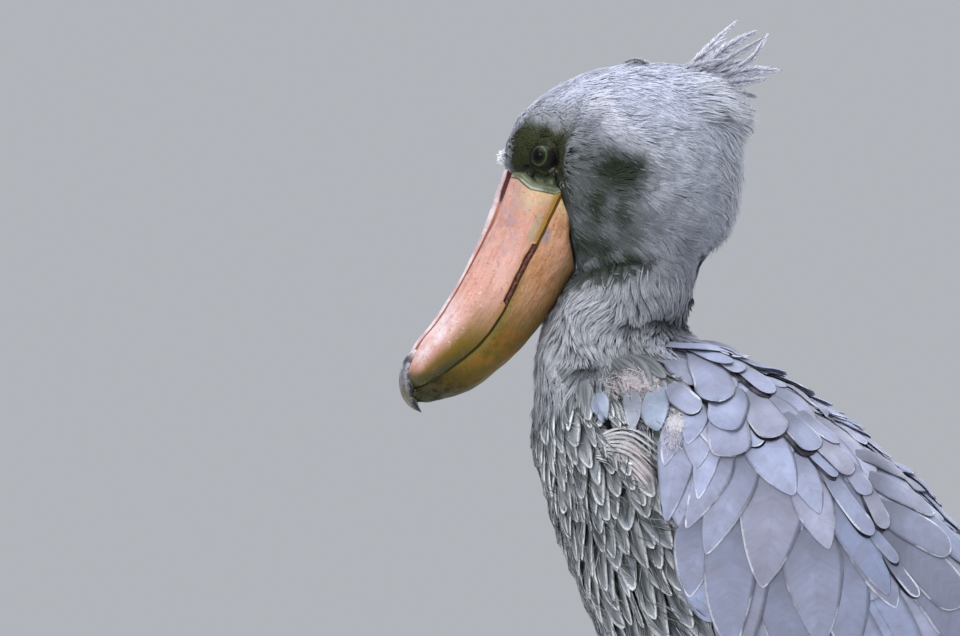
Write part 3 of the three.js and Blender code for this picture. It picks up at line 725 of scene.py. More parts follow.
def marking(p):
    """The plumage's colour at points on the bird, linear, with painted shade on the lower cheek, in hollows,
    in folds and under the brow, painted light on the crown and a painted highlight on the cheek's ridge.
    """
    y, z = p[:, 1], p[:, 2]
    side = step(4, 16, np.abs(p[:, 0]))
    cloud = 0.85 + 0.3 * waves(p, 30, 4)

    def patched(c, patches):
        for colour, share, *where, cloudy in patches:
            c = mix(c, colour, share * blob(p, *where) * side * (cloud if cloudy else 1))
        return c

    c = np.broadcast_to(NECK_GREY, p.shape).copy()
    c = mix(c, HEAD_GREY, step(925, 960, z))
    # Painted light from above: the crown is made paler and bluer.
    c = mix(c, CROWN_LIT_GREY, step(1040, 1095, z))
    c = mix(c, BREAST_GREY, step(860, 800, z))
    c = mix(c, MANTLE_GREY, step(905, 860, z) * step(-110, -70, y))
    c = mix(c, BELLY_GREY, step(560, 480, z) * step(40, 110, y))
    # Painted shade on the lower cheek, under the ridge behind the eye.
    c = patched(c, CHEEK_PATCHES)
    # Painted highlight: the raised ridge behind the cheek's dark patch is made paler, where the light catches
    # it.
    c = mix(c, RIDGE_HIGHLIGHT, 0.8 * near_line(p, CHEEK_RIDGE, 17) * side)
    c = patched(c, SHADOW_PATCHES)
    c = mix(c, SHADOW_GREY, 0.85 * near_line(p, JAW_LINE, 13) * side)
    # Painted shade in the neck's folds, and pale down.
    c = patched(c, NECK_PATCHES)
    ahead = ahead_of_cheek(p) * side
    behind = y - np.interp(z, *CHEEK_EDGE)
    # Painted shade along the front edge of the cheek's raised plumage.
    c = mix(c, CHEEK_SHADE, 0.5 * step(16, 4, behind) * step(1082, 1066, z) * step(985, 1000, z) * side)
    height = z + 0.2 * (y + 190) + 2 * waves(p, 14, 5)
    c = mix(c, FACE_GREY, 0.9 * ahead * step(1100, 1078, height))
    # Painted shade: the face before the cheek is dark olive below the brow, which shades it.
    c = mix(c, LORE_SHADE, 0.97 * ahead * step(1080, 1060, height))
    c = mix(c, BAND_GREEN, 0.9 * near_line(p, BASE_BAND, 10) * ahead)
    c = mix(c, CREAM, 0.9 * near_line(p, BASE_BAND, 6) * ahead * step(0.9, -0.2, waves(p, 7, 6)))
    c = mix(c, EYE_PINK, 0.75 * blob(p, *EYE_CORNER) * side)
    return np.clip(c * (1 + 0.05 * waves(p, 26, 3))[:, None], 0, 1)


# Materials
class Nodes:
    """A material's node tree, built one node at a time."""

    def __init__(self, name):
        self.material = bpy.data.materials.new(name)
        self.material.use_nodes = True
        self.tree = self.material.node_tree
        self.shader = self.tree.nodes["Principled BSDF"]

    def link(self, value, socket):
        if isinstance(value, (int, float)):
            socket.default_value = value
        elif isinstance(value, (tuple, list, np.ndarray)):
            socket.default_value = [*value, 1.0] if len(value) == 3 and socket.type == "RGBA" else value
        else:
            self.tree.links.new(value, socket)

    def make(self, kind, **inputs):
        made = self.tree.nodes.new("ShaderNode" + kind)
        settings = inputs.pop("settings", {})
        for key, value in settings.items():
            setattr(made, key, value)
        for key, value in inputs.items():
            self.link(value, made.inputs[key.replace("_", " ")])
        return made

    def value(self, name):
        return self.make("Attribute", settings={"attribute_name": name}).outputs["Fac"]

    def colour(self, name):
        return self.make("Attribute", settings={"attribute_name": name}).outputs["Color"]

    def wire(self, made, sockets, values):
        for socket, value in zip(sockets, values):
            self.link(value, made.inputs[socket])
        return made

    def math(self, operation, a, b=0.0):
        return self.wire(self.make("Math", settings={"operation": operation}), (0, 1), (a, b)).outputs[0]

    def times(self, value, *others):
        """The product of some values."""
        for other in others:
            value = self.math("MULTIPLY", value, other)
        return value

    def ramp(self, value, low_edge, high_edge, low_value=0.0, high_value=1.0):
        """From the low value to the high one as value goes from the low edge to the high one."""
        made = self.make("MapRange", settings={"interpolation_type": "SMOOTHSTEP"})
        return self.wire(made, range(5), (value, low_edge, high_edge, low_value, high_value)).outputs[0]

    def mixed(self, share, a, b, blend="MIX"):
        made = self.make("Mix", settings={"data_type": "RGBA", "blend_type": blend})
        return self.wire(made, (0, 6, 7), (share, a, b)).outputs[2]

    def shaded(self, colour, value):
        """A colour times a value."""
        grey = self.make("CombineColor", Red=value, Green=value, Blue=value).outputs[0]
        return self.mixed(1.0, colour, grey, "MULTIPLY")

    def vector(self, x, y, z):
        return self.wire(self.make("CombineXYZ"), range(3), (x, y, z)).outputs[0]

    def noise(self, scale, detail=4.0, roughness=0.55, where=None):
        if where is None:
            where = self.make("TexCoord").outputs["Object"]
        made = self.make("TexNoise", Scale=float(scale), Detail=float(detail), Roughness=float(roughness))
        self.link(where, made.inputs["Vector"])
        return made.outputs["Fac"]

    def bump(self, height, strength, distance, normal=None):
        made = self.make("Bump", Strength=strength, Distance=distance, Height=height)
        if normal is not None:
            self.link(normal, made.inputs["Normal"])
        return made.outputs["Normal"]

    def finish(self, colour, roughness, normal=None, **plain):
        self.link(colour, self.shader.inputs["Base Color"])
        self.link(roughness, self.shader.inputs["Roughness"])
        if normal is not None:
            self.link(normal, self.shader.inputs["Normal"])
        for key, value in plain.items():
            self.shader.inputs[key.replace("_", " ")].default_value = value
        return self.material


# Colours of horn and eye as the picture shows them.
HORN = {
    "brick": (190, 130, 110),
    "salmon": (200, 152, 138),
    "shell": (206, 156, 142),
    "rust": (176, 108, 86),
    "grey bloom": (164, 138, 140),
    "pale blotch": (218, 180, 160),
    "cream": (196, 168, 118),
    "slate": (152, 140, 124),
    "ochre": (150, 112, 34),
    "sage": (158, 150, 120),
    "white wear and painted highlight": (222, 206, 212),
    "olive": (112, 88, 2),
    "deep olive": (40, 44, 0),
    "dark tip": (58, 58, 8),
    "pale flecks": (238, 226, 214),
    "keel": (214, 200, 200),
    "keel shade": (186, 156, 160),
    "groove": (132, 56, 24),
    "slit": (66, 6, 8),
    "mouth crease shade": (74, 54, 12),
    "edge shade": (58, 50, 14),
    "lip": (92, 102, 78),
    "pale lip": (152, 158, 140),
    "lip shade": (74, 84, 58),
    "red pits": (128, 76, 58),
    "tan": (186, 136, 96),
    "warm tan": (200, 154, 122),
    "peach": (214, 162, 132),
    "umber": (164, 104, 62),
    "straw": (216, 188, 132),
    "grey spot": (140, 132, 140),
    "moss olive": (88, 78, 4),
    "light olive": (122, 98, 26),
    "chin": (104, 88, 36),
    "ruddy": (152, 92, 44),
    "black tip": (20, 23, 0),
    "moss": (62, 68, 50),
    "rim": (122, 112, 56),
    "lip crease shade": (48, 38, 8),
    "root": (120, 98, 64),
    "brown pits": (112, 78, 42),
    "tan specks": (214, 182, 142),
    "lining": (70, 34, 32),
    "pale lining": (122, 82, 74),
    "lining root": (112, 74, 26),
    "lining tip": (58, 54, 22),
    "nail": (76, 78, 90),
    "pale nail": (146, 146, 152),
    "nail point": (104, 96, 74),
    "nail wear": (190, 186, 182),
    "nail blots": (38, 38, 52),
    "nail lip highlight": (160, 166, 168),
    "nail root": (206, 190, 188),
    "iris": (16, 22, 8),
    "pale iris": (40, 50, 24),
    "iris cloud": (26, 32, 14),
    "iris ring": (72, 84, 56),
}


class Paint:
    """Coats of colour, each over those before it.

    A coat's share is the product of the values given for it: numbers, or the parts of a ramp.
    """

    def __init__(self, nodes, first, second, share):
        self.nodes = nodes
        self.colour = linear(*HORN[first])
        self.over(second, share)

    def over(self, colour, *shares):
        n = self.nodes
        share = n.times(*(n.ramp(*part) if isinstance(part, tuple) else part for part in shares))
        colour = linear(*HORN[colour]) if isinstance(colour, str) else colour
        self.colour = n.mixed(share, self.colour, colour)


def skin_material():
    n = Nodes("bare_skin")
    tint = n.colour("tint")
    tone = n.mixed(n.ramp(n.noise(900), 0.3, 0.7), tint, (0.02, 0.02, 0.02), "MULTIPLY")
    pores, folds = n.noise(1400, 6), n.noise(380, 3)
    normal = n.bump(pores, 0.35, 0.0006, n.bump(folds, 0.5, 0.0012))
    roughness = n.ramp(pores, 0.2, 0.8, 0.85, 0.6)
    return n.finish(n.mixed(0.45, tint, tone), roughness, normal, Specular_IOR_Level=0.2)


def tuft_material(name, tip_light, tip):
    """Fine soft plumage: darker at the root and paler at the tip."""
    n = Nodes(name)
    along, tint = n.value("along"), n.colour("tint")
    darker = n.mixed(1.0, tint, (0.45, 0.45, 0.46), "MULTIPLY")
    base = n.mixed(n.ramp(along, 0.0, 0.5, 0.6, 0.0), tint, darker)
    paler = n.mixed(1.0, tint, tip, "SCREEN")
    bright = n.make("RGBToBW", Color=tint).outputs[0]
    light = n.times(n.ramp(along, 0.5, 1.0, 0.0, tip_light), n.ramp(bright, 0.01, 0.16, 0.15, 1.0))
    colour = n.shaded(n.mixed(light, base, paler), n.ramp(n.noise(700, 2), 0.3, 0.7, 0.88, 1.1))
    return n.finish(colour, n.ramp(along, 0.0, 1.0, 0.9, 0.75), Specular_IOR_Level=0.12)


FINE_BARBS, COARSE_BARBS = 0.9, 4.3


def vane_material(name, rim_colour, rim_width, rim_share, shaft_colour, shaft_share, dark_middle, coarse,
                  broken):
    """A firm feather: a shaft, fine barbs that slant from it, and a pale rim, broken where it is worn."""
    n = Nodes(name)
    rim, shaft, barb, along, lot = (n.value(key) for key in ("rim", "shaft", "barb", "along", "lot"))
    # Darker and paler clouds, random in place: partly the feathers' own uneven tone, partly painted shade and
    # light. lit is painted light: paler near the shaft, as on the raised middle of a domed feather.
    cloudy = n.noise(45, 3)
    colour = n.mixed(n.ramp(cloudy, 0.42, 0.7, 0.0, 0.42), n.colour("tint"), (0.25, 0.235, 0.29))
    lit = n.times(n.ramp(cloudy, 0.5, 0.32, 0.0, 0.4), n.ramp(shaft, 14, 2))
    colour = n.mixed(1.0, colour, n.mixed(lit, (1, 1, 1), (1.3, 1.3, 1.3)), "MULTIPLY")
    where = n.vector(n.times(barb, 0.2), n.times(rim, 0.05), n.times(lot, 60.0))
    colour = n.shaded(colour, n.ramp(n.noise(1.0, 4, 0.6, where), 0.3, 0.7, 0.94, 1.05))
    if dark_middle:
        inner = n.ramp(rim, rim_width, rim_width * 2.6)
        colour = n.mixed(n.times(inner, dark_middle), colour, (0.055, 0.067, 0.064))
    # Darker towards the root: partly the real darker base of each feather, partly painted shade under the
    # feather that overlaps it.
    colour = n.mixed(n.ramp(along, 0.15, 0.62, 0.55, 0.0), colour, (0.06, 0.065, 0.08))
    ragged = n.math("ADD", rim, n.times(n.math("SUBTRACT", n.noise(600, 3), 0.5), rim_width * 0.9))
    pale = n.times(n.ramp(ragged, rim_width, rim_width * 0.35), n.ramp(along, 0.35, 0.7, 0.15, rim_share))
    if broken:
        patchy = n.math("ADD", n.noise(32, 2), n.times(lot, 0.16))
        pale = n.times(pale, n.ramp(patchy, 0.56, 0.66, 1 - broken, 1.0))
    colour = n.mixed(pale, colour, rim_colour)
    colour = n.mixed(n.ramp(shaft, 0.9, 0.35, 0.0, shaft_share), colour, shaft_colour)
    fine = n.math("SINE", n.times(barb, 2 * np.pi / FINE_BARBS))
    rough = n.math("SINE", n.math("ADD", n.times(barb, 2 * np.pi / COARSE_BARBS), n.times(lot, 40.0)))
    wave = n.math("ADD", fine, n.times(rough, coarse))
    colour = n.shaded(colour, n.ramp(wave, -1.3, 1.3, 0.965, 1.03))
    normal = n.bump(n.math("ADD", wave, n.ramp(shaft, 1.2, 0.0, 0.0, 2.5)), 0.3, 0.00016)
    plain = {"Specular_IOR_Level": 0.22, "Sheen_Weight": 0.1, "Sheen_Roughness": 0.4}
    return n.finish(colour, n.ramp(cloudy, 0.3, 0.7, 0.5, 0.66), normal, **plain)


# Feathers
def spindles(root, middle, tip, width, thick, out):
    """Tufts of three sides, closed at both ends: 8 points each with one bend, or 5 with none."""
    count = len(root)
    out = np.broadcast_to(out, root.shape)
    bent = middle.ndim == 3
    rings = [middle[:, 0], middle[:, 1]] if bent else [middle]
    axis = unit(tip - root)
    across = unit(np.cross(axis, out))
    lifted = np.cross(across, axis)
    verts = [root]
    normals = [out]
    for i, ring in enumerate(rings):
        half = across * (width * (1.0 if i == 0 else 0.72))[:, None] / 2
        verts += [ring - half, ring + half, ring + lifted * thick[:, None]]
        normals += [out - 0.45 * across, out + 0.45 * across, out]
    verts.append(tip)
    normals.append(unit(out + 0.3 * axis))
    normals = unit(np.stack(normals, 1)).reshape(-1, 3)
    size = len(verts)
    faces = [[0, 2, 1], [0, 3, 2], [0, 1, 3]]
    if bent:
        for a, b in ((1, 2), (2, 3), (3, 1)):
            faces += [[a, b, b + 3], [a, b + 3, a + 3]]
    last = size - 4
    faces += [[last, last + 1, size - 1], [last + 1, last + 2, size - 1], [last + 2, last, size - 1]]
    verts = np.stack(verts, 1).reshape(-1, 3)
    faces = (np.array(faces)[None] + (np.arange(count) * size)[:, None, None]).reshape(-1, 3)
    marks = [0.0] + [0.4] * 3 + ([0.75] * 3 if bent else []) + [1.0]
    return verts, faces, size, np.tile(marks, count), normals


# On the map for baking, each tuft or vane is a patch of this size at its root's place.
PATCH = 0.003
PIECE_TRIANGLES = 190000


def patches_at(places, size):
    """The places of the patches' roots, kept off the map's edges, once for each vertex."""
    return np.repeat(places * 0.98 + 0.01, size, axis=0)


def turned(x, y):
    """An angle in the level plane as a share of a full turn, 0.5 where it looks ahead."""
    return np.arctan2(x, -y) / (2 * np.pi) + 0.5


def head_unwrap(p):
    way = unit(p - np.array([0, -115, CROWN - 100]))
    return np.stack([turned(way[:, 0], way[:, 1]), np.arcsin(way[:, 2]) / np.pi + 0.5], 1)


def tuft_objects(name, parts, material, slot, unwrap, tints, roots):
    """Makes the pieces of one coat, each of at most PIECE_TRIANGLES triangles."""
    verts, faces, size, marks, normals = parts
    count = len(roots)
    per = len(faces) // count
    most = PIECE_TRIANGLES // per
    for number, start in enumerate(range(0, count, most)):
        end = min(count, start + most)
        own = slice(start * size, end * size)
        ob = mesh_object(f"{name}_{number + 1}", verts[own], faces[start * per : end * per] - start * size)
        if normals is not None:
            ob.data.normals_split_custom_set_from_vertices(normals[own].astype(np.float32))
        point_value(ob, "along", marks[own])
        point_colour(ob, "tint", np.repeat(tints[start:end], size, axis=0))
        sideways = np.tile(np.linspace(-0.5, 0.5, size), end - start)
        across = np.stack([sideways * PATCH, (marks[own] - 0.5) * PATCH], 1)
        bake_map(ob, patches_at(unwrap(roots[start:end]), size) + across)
        place(ob, slot, material)


def scattered(me, density, seed):
    """Points on a mesh, with their normals, density(p, normal) to a square millimetre."""
    me.calc_loop_triangles()
    tris = np.zeros(len(me.loop_triangles) * 3, np.int32)
    me.loop_triangles.foreach_get("vertices", tris)
    tris = tris.reshape(-1, 3)
    verts, _ = mesh_arrays(me)
    normals = vertex_normals(me)
    a, b, c = (verts[tris[:, i]] for i in range(3))
    centre = (a + b + c) / 3
    area = np.linalg.norm(np.cross(b - a, c - a), axis=1) / 2
    share = np.cumsum(area * density(centre, unit(np.cross(b - a, c - a))))
    random = np.random.default_rng(seed)
    count = int(share[-1])
    picks = np.searchsorted(share, (np.arange(count) + random.random(count)) / count * share[-1])
    picks = np.minimum(picks, len(tris) - 1)
    u, v = random.random(count), random.random(count)
    over = u + v > 1
    u[over], v[over] = 1 - u[over], 1 - v[over]
    w = np.stack([1 - u - v, u, v], 1)[:, :, None]
    points = (verts[tris[picks]] * w).sum(1)
    return points, unit((normals[tris[picks]] * w).sum(1)), random


def settled(tree, points, height):
    """Each point moved to its height over the skin."""
    made = np.empty_like(points)
    for i, p in enumerate(world(points)):
        nearest, normal, _, _ = tree.find_nearest(Vector(p))
        made[i] = np.array(nearest) * PER_METRE - SHIFT + np.array(normal) * height[i]
    return made


def toward_tip(rows):
    """Places along a vane from 0 to 1, closer together towards the tip."""
    return 1 - (1 - np.linspace(0, 1, rows)) ** 1.5


def profile(v, tip_from, tip_power, root, taper=0.59):
    """The share of a vane's full width from root to tip. A taper of 0.5 ends it round, 1 in a point."""
    base = lerp(root, 1.0, step(0, 0.45, v))
    t = np.clip((v - tip_from) / (1 - tip_from), 0, 1)
    return base * np.maximum(1 - t**tip_power, 0.0) ** taper + 0.02


BARB_SLANT = 0.6


def vane_mesh(top, thick, up, width, v, u, length):
    """Closed vanes from their upper faces, (count, rows, columns, 3), with what their colours need."""
    count, rows, wide = top.shape[:3]
    columns = wide - 1
    deep = thick * (1 - 0.55 * np.abs(u))
    bottom = top - up * deep[:, None]
    ring = np.concatenate([top, bottom[:, :, -2:0:-1]], axis=2)
    around = ring.shape[2]
    i, j = np.meshgrid(np.arange(rows - 1), np.arange(around), indexing="ij")
    k = (j + 1) % around
    quads = np.stack([i * around + j, (i + 1) * around + j, (i + 1) * around + k, i * around + k], -1)
    ends = []
    for base, flip in ((0, False), ((rows - 1) * around, True)):
        for c in range(columns):
            low_side = (around - c) % around if c else 0
            next_side = around - c - 1 if c + 1 < columns else columns
            quad = [base + c, base + c + 1, base + next_side, base + low_side]
            ends.append(quad[::-1] if flip else quad)
    faces = np.vstack([quads.reshape(-1, 4), np.array(ends)])
    size = rows * around
    faces = (faces[None] + (np.arange(count) * size)[:, None, None]).reshape(-1, 4)
    uu = np.concatenate([u, u[-2:0:-1]])
    ww = np.broadcast_to(width[:, :, None], (count, rows, around))
    vv = np.broadcast_to(v[None, :, None], (count, rows, around))
    to_side = ww * (1 - np.abs(uu))
    to_tip = (1 - vv) * length[:, None, None]
    values = {
        "rim": np.minimum(to_side, to_tip * 1.2),
        "shaft": ww * np.abs(uu),
        "barb": vv * length[:, None, None] - ww * np.abs(uu) * BARB_SLANT,
        "along": vv,
        "side": np.broadcast_to(uu, (count, rows, around)),
    }
    return ring.reshape(-1, 3), faces, size, {key: value.reshape(-1) for key, value in values.items()}


def drop_thin(faces):
    """Quads with a doubled corner become triangles, the rest are split."""
    tris = np.vstack([faces[:, [0, 1, 2]], faces[:, [0, 2, 3]]])
    good = (tris[:, 0] != tris[:, 1]) & (tris[:, 1] != tris[:, 2]) & (tris[:, 0] != tris[:, 2])
    return tris[good]


def vane_object(name, made, kind, slot, uv_roots, tints, seed):
    verts, faces, size, values = made
    ob = mesh_object(name, verts, drop_thin(faces))
    for key in ("rim", "shaft", "barb", "along"):
        point_value(ob, key, values[key])
    lot = np.random.default_rng(seed).random(len(uv_roots))
    point_value(ob, "lot", np.repeat(lot, size))
    point_colour(ob, "tint", np.repeat(tints, size, axis=0))
    across = np.stack([values["side"] * 0.5 * PATCH, (values["along"] - 0.5) * PATCH], 1)
    bake_map(ob, patches_at(uv_roots, size) + across)
    place(ob, slot, VANE_MATERIALS[kind])


# Laying feathers over the body. The fine grid of heights has these steps, in stations and in degrees.
K_STEP, PHI_STEP = 0.02, 0.6
# The coarse grid has this many steps either way. The rays that feel for the skin start this far out.
COARSE = 120
RAY_FROM, RAY_LENGTH = 110, 180
# How far apart, in millimetres, a laid feather marks the grid of heights.
FINE = 1.3
# Past this depth of the coat, in millimetres, feathers lie flat on one another.
COAT_ROOM = 10.5


def folded(phi):
    """The same angle on the nearer side: from -90 under the belly up to 90 on the back."""
    phi = (phi + 180) % 360 - 180
    return np.where(np.abs(phi) > 90, np.sign(phi) * 180 - phi, phi)


def body_uv(k, phi):
    return np.stack([((np.asarray(phi) + 180) % 360) / 360, np.asarray(k) / LAST], 1)


def spread(h):
    """The greatest height near each point of a vane, smoothed, but nowhere under its own."""
    rows, columns = h.shape

    def neighbours(values):
        p = np.pad(values, 1, mode="edge")
        return [p[i : i + rows, j : j + columns] for i in range(3) for j in range(3)]

    return np.maximum(sum(neighbours(np.maximum.reduce(neighbours(h)))) / 9, h)


class Coat:
    """Feathers on the body. Heights over it grow as each goes on, so that they lie on one another."""

    def __init__(self, tree):
        turns = np.arange(COARSE) * 3.0 - 180
        k, phi = np.meshgrid(np.linspace(0, LAST, COARSE + 1), turns, indexing="ij")
        start = over_body(k, phi, RAY_FROM)
        way = unit(over_body(k, phi, RAY_FROM - 10) - start)
        found = np.full(k.shape, -2.0)
        origin = world(start)
        for i, j in np.ndindex(k.shape):
            hit = tree.ray_cast(Vector(origin[i, j]), Vector(way[i, j]), RAY_LENGTH * MM)
            if hit[0] is not None:
                found[i, j] = RAY_FROM - hit[3] * PER_METRE
        found = np.clip(found, -28, 72)
        found = lerp(found, -2.0, step(8.7, 9.7, k) * step(-30, -10, folded(phi)))
        for _ in range(2):
            found = (np.roll(found, 1, 1) + found * 2 + np.roll(found, -1, 1)) / 4
        self.coarse = found
        fine_k, fine_phi = np.meshgrid(
            np.arange(0, LAST + K_STEP / 2, K_STEP), np.arange(-180, 180, PHI_STEP), indexing="ij"
        )
        self.height = self.ground(fine_k, fine_phi)

    def ground(self, k, phi):
        """The height of the skin over the bird's smooth form."""
        a = np.clip(k / LAST * COARSE, 0, COARSE - 0.001)
        b = ((phi + 180) % 360) / 3
        i, j = a.astype(int), b.astype(int) % COARSE
        f, g = a - i, b - b.astype(int)
        n = (j + 1) % COARSE
        c = self.coarse
        return lerp(lerp(c[i, j], c[i, n], g), lerp(c[i + 1, j], c[i + 1, n], g), f)

    def cell(self, k, phi):
        i = np.clip(np.round(k / K_STEP).astype(int), 0, self.height.shape[0] - 1)
        j = np.round(((phi + 180) % 360) / PHI_STEP).astype(int) % self.height.shape[1]
        return i, j

    def lay(self, k0, phi0, k1, phi1, half, shape, rows, columns, thick=0.5, gap=0.4, lift=1.0, tilt=0.0,
            bow=0.0, dome=0.0):
        """Lays feathers in order, each over those before it, and flatter where they are already deep.

        They go from k0, phi0 to k1, phi1. half, thick, gap, lift, tilt and dome are millimetres, bow degrees.
        """
        count = len(k0)
        v = toward_tip(rows)
        bow = np.broadcast_to(bow, (count,))[:, None] * v * (1 - v) * 4
        k = lerp(k0[:, None], k1[:, None], v)
        phi = lerp(phi0[:, None], phi1[:, None], v) + bow
        ground = self.ground(k, phi)
        centre = over_body(k, phi, ground)
        by_k = (over_body(k + K_STEP, phi, ground) - over_body(k - K_STEP, phi, ground)) / (2 * K_STEP)
        by_phi = over_body(k, phi + 0.5, ground) - over_body(k, phi - 0.5, ground)
        along = unit(np.gradient(centre, axis=1))
        cross = unit(np.cross(unit(np.cross(by_k, by_phi)), along))
        k_k, phi_phi, k_phi = (by_k * by_k).sum(-1), (by_phi * by_phi).sum(-1), (by_k * by_phi).sum(-1)
        on_k, on_phi = (cross * by_k).sum(-1), (cross * by_phi).sum(-1)
        det = k_k * phi_phi - k_phi * k_phi
        dk, dphi = (on_k * phi_phi - on_phi * k_phi) / det, (on_phi * k_k - on_k * k_phi) / det
        u = np.linspace(-1, 1, columns + 1)
        width = half[:, None] * shape(v)[None, :]
        x = width[:, :, None] * u
        kk, pp = k[:, :, None] + dk[:, :, None] * x, phi[:, :, None] + dphi[:, :, None] * x
        length = np.linalg.norm(np.diff(centre, axis=1), axis=2).sum(1)
        fine_v = np.linspace(0, 1, int(length.max() / FINE) + 2)
        fine_u = np.linspace(-1, 1, int(half.max() * 2 / FINE) + 2)
        down = np.stack([np.interp(fine_v, np.linspace(0, 1, rows), one) for one in np.eye(rows)], 1)
        over = np.stack([np.interp(fine_u, u, one) for one in np.eye(columns + 1)])
        gap, lift, tilt, dome = (np.broadcast_to(value, (count,)) for value in (gap, lift, tilt, dome))
        crown = np.sin(np.pi * v[:, None]) ** 0.7 * (1 - u**2)
        heights = np.empty(kk.shape)
        for i in range(count):
            under = self.height[self.cell(kk[i], pp[i])]
            room = np.clip((COAT_ROOM - under.mean()) / 4, 0.12, 1)
            h = lift[i] * v[:, None] ** 2 + tilt[i] * u * v[:, None] + dome[i] * crown
            h = spread(under) + gap[i] + h * room
            h = lerp(under - 1.5, h, step(0, 0.2, v)[:, None])
            heights[i] = h
            cells = self.cell(down @ kk[i] @ over, down @ pp[i] @ over)
            np.maximum.at(self.height, cells, down @ h @ over)
        top = over_body(kk, pp, heights)
        up = unit(over_body(kk, pp, heights + 1) - top)
        return vane_mesh(top, thick, up, width, v, u, length)


def find_places(coat, y, z):
    """k and phi of the points of the left side seen at y and z from the side."""
    k, phi = np.meshgrid(np.arange(0.3, 10, 0.025), np.arange(-60, 88, 0.75), indexing="ij")
    k, phi = k.ravel(), phi.ravel()
    p = over_body(k, phi, coat.ground(k, phi))
    far = np.where(p[:, 0] < 20, 1e6, 0)
    found = [np.argmin((p[:, 1] - a) ** 2 + (p[:, 2] - b) ** 2 + far) for a, b in zip(y, z)]
    return k[found], phi[found]


# Coverts and scapulars of the shoulder in the order they lie, upper ones last: root, tip and half width in
# pixels, and, where a painted shadow (a near-black copy beneath) shows at the lower edge, how wide it is.
COVERTS = [
    (828, 556, 846, 656, 27),
    (786, 560, 800, 660, 28),
    (742, 552, 745, 652, 25),
    (858, 520, 892, 606, 24),
    (806, 540, 818, 640, 28),
    (838, 498, 884, 594, 24),
    (700, 520, 695, 588, 20),
    (740, 520, 741, 638, 24),
    (768, 480, 760, 584, 31),
    (802, 486, 824, 546, 20),
    (740, 462, 708, 549, 20),
    (712, 455, 689, 523, 17),
    (792, 462, 816, 512, 16),
    (754, 436, 789, 495, 22),
    (672, 432, 669, 516, 17),
    (704, 440, 697, 496, 12),
    (690, 424, 694, 467, 15),
    (670, 424, 664, 462, 10),
    (712, 425, 730, 457, 17),
    (706, 418, 710, 446, 13),
    (688, 414, 683, 444, 12),
]
SCAPULARS = [
    (905, 562, 966, 640, 24),
    (892, 536, 956, 604, 22),
    (906, 508, 966, 562, 16),
    (882, 512, 946, 552, 18),
    (912, 480, 958, 532, 14),
    (872, 484, 928, 516, 14),
    (862, 464, 915, 497, 12),
    (905, 472, 937, 497, 8),
    (860, 446, 907, 478, 11),
    (884, 556, 913, 594, 6, 2.5),
    (866, 530, 892, 562, 6, 3),
    (860, 488, 880, 530, 9, 2),
    (826, 476, 867, 534, 9, 3.5),
    (842, 466, 863, 496, 10),
    (806, 452, 832, 477, 6, 3),
    (850, 428, 888, 456, 10),
    (815, 440, 847, 473, 12, 2),
    (832, 424, 858, 450, 9),
    (798, 418, 834, 443, 9),
    (781, 420, 811, 450, 13, 3.5),
    (826, 404, 864, 428, 9),
    (798, 398, 840, 422, 9),
    (780, 396, 820, 420, 9),
    (728, 416, 757, 445, 11, 2),
    (742, 402, 773, 438, 18, 1.5),
    (766, 382, 800, 404, 10, 1.5),
    (732, 376, 763, 398, 12, 3),
    (736, 364, 772, 384, 8, 1.5),
    (718, 420, 728, 456, 19),
    (722, 396, 715, 431, 17),
    (668, 392, 694, 413, 9, 2.5),
    (694, 362, 712, 404, 18),
    (700, 352, 727, 381, 12),
    (686, 352, 718, 372, 10),
    (672, 346, 722, 362, 8),
    (690, 340, 742, 358, 8),
]
# Small soft feathers between the neck and the shoulder.
COLLAR = [
    (600, 396, 608, 419, 8.5),
    (629, 397, 634, 427, 8),
    (652, 396, 656, 430, 11),
]


def rounded(v):
    return profile(v, 0.45, 2.4, 0.5)


def squared(v):
    return profile(v, 0.68, 3.8, 0.55)


def pointed(v):
    return profile(v, 0.3, 1.6, 0.5)


def oval(v):
    return profile(v, 0.36, 1.75, 0.6)


def blade(v):
    return profile(v, 0.36, 1.7, 0.6, 0.74)


def plume_tint(count, base, seed, amount):
    """The colours of feathers, each a little lighter or darker, warmer or cooler than the base."""
    random = np.random.default_rng(seed)
    value = 1 + amount * random.normal(size=(count, 1))
    warm = random.normal(size=(count, 1)) * 0.03
    return np.clip(base * value * (1 + warm * np.array([1, 0, -1])), 0, 1)


COVERT_BLUE = linear(162, 167, 194)
SCAPULAR_BLUE = linear(150, 155, 180)
FLIGHT_GREY = linear(112, 118, 134)
COLLAR_GREY = linear(164, 172, 190)
# Near black: painted shadow, laid as copies under the scapulars' lower edges.
GAP_SHADOW = linear(18, 15, 28)


def mirrored(phi, side):
    return phi if side > 0 else 180 - phi


STATION = 85


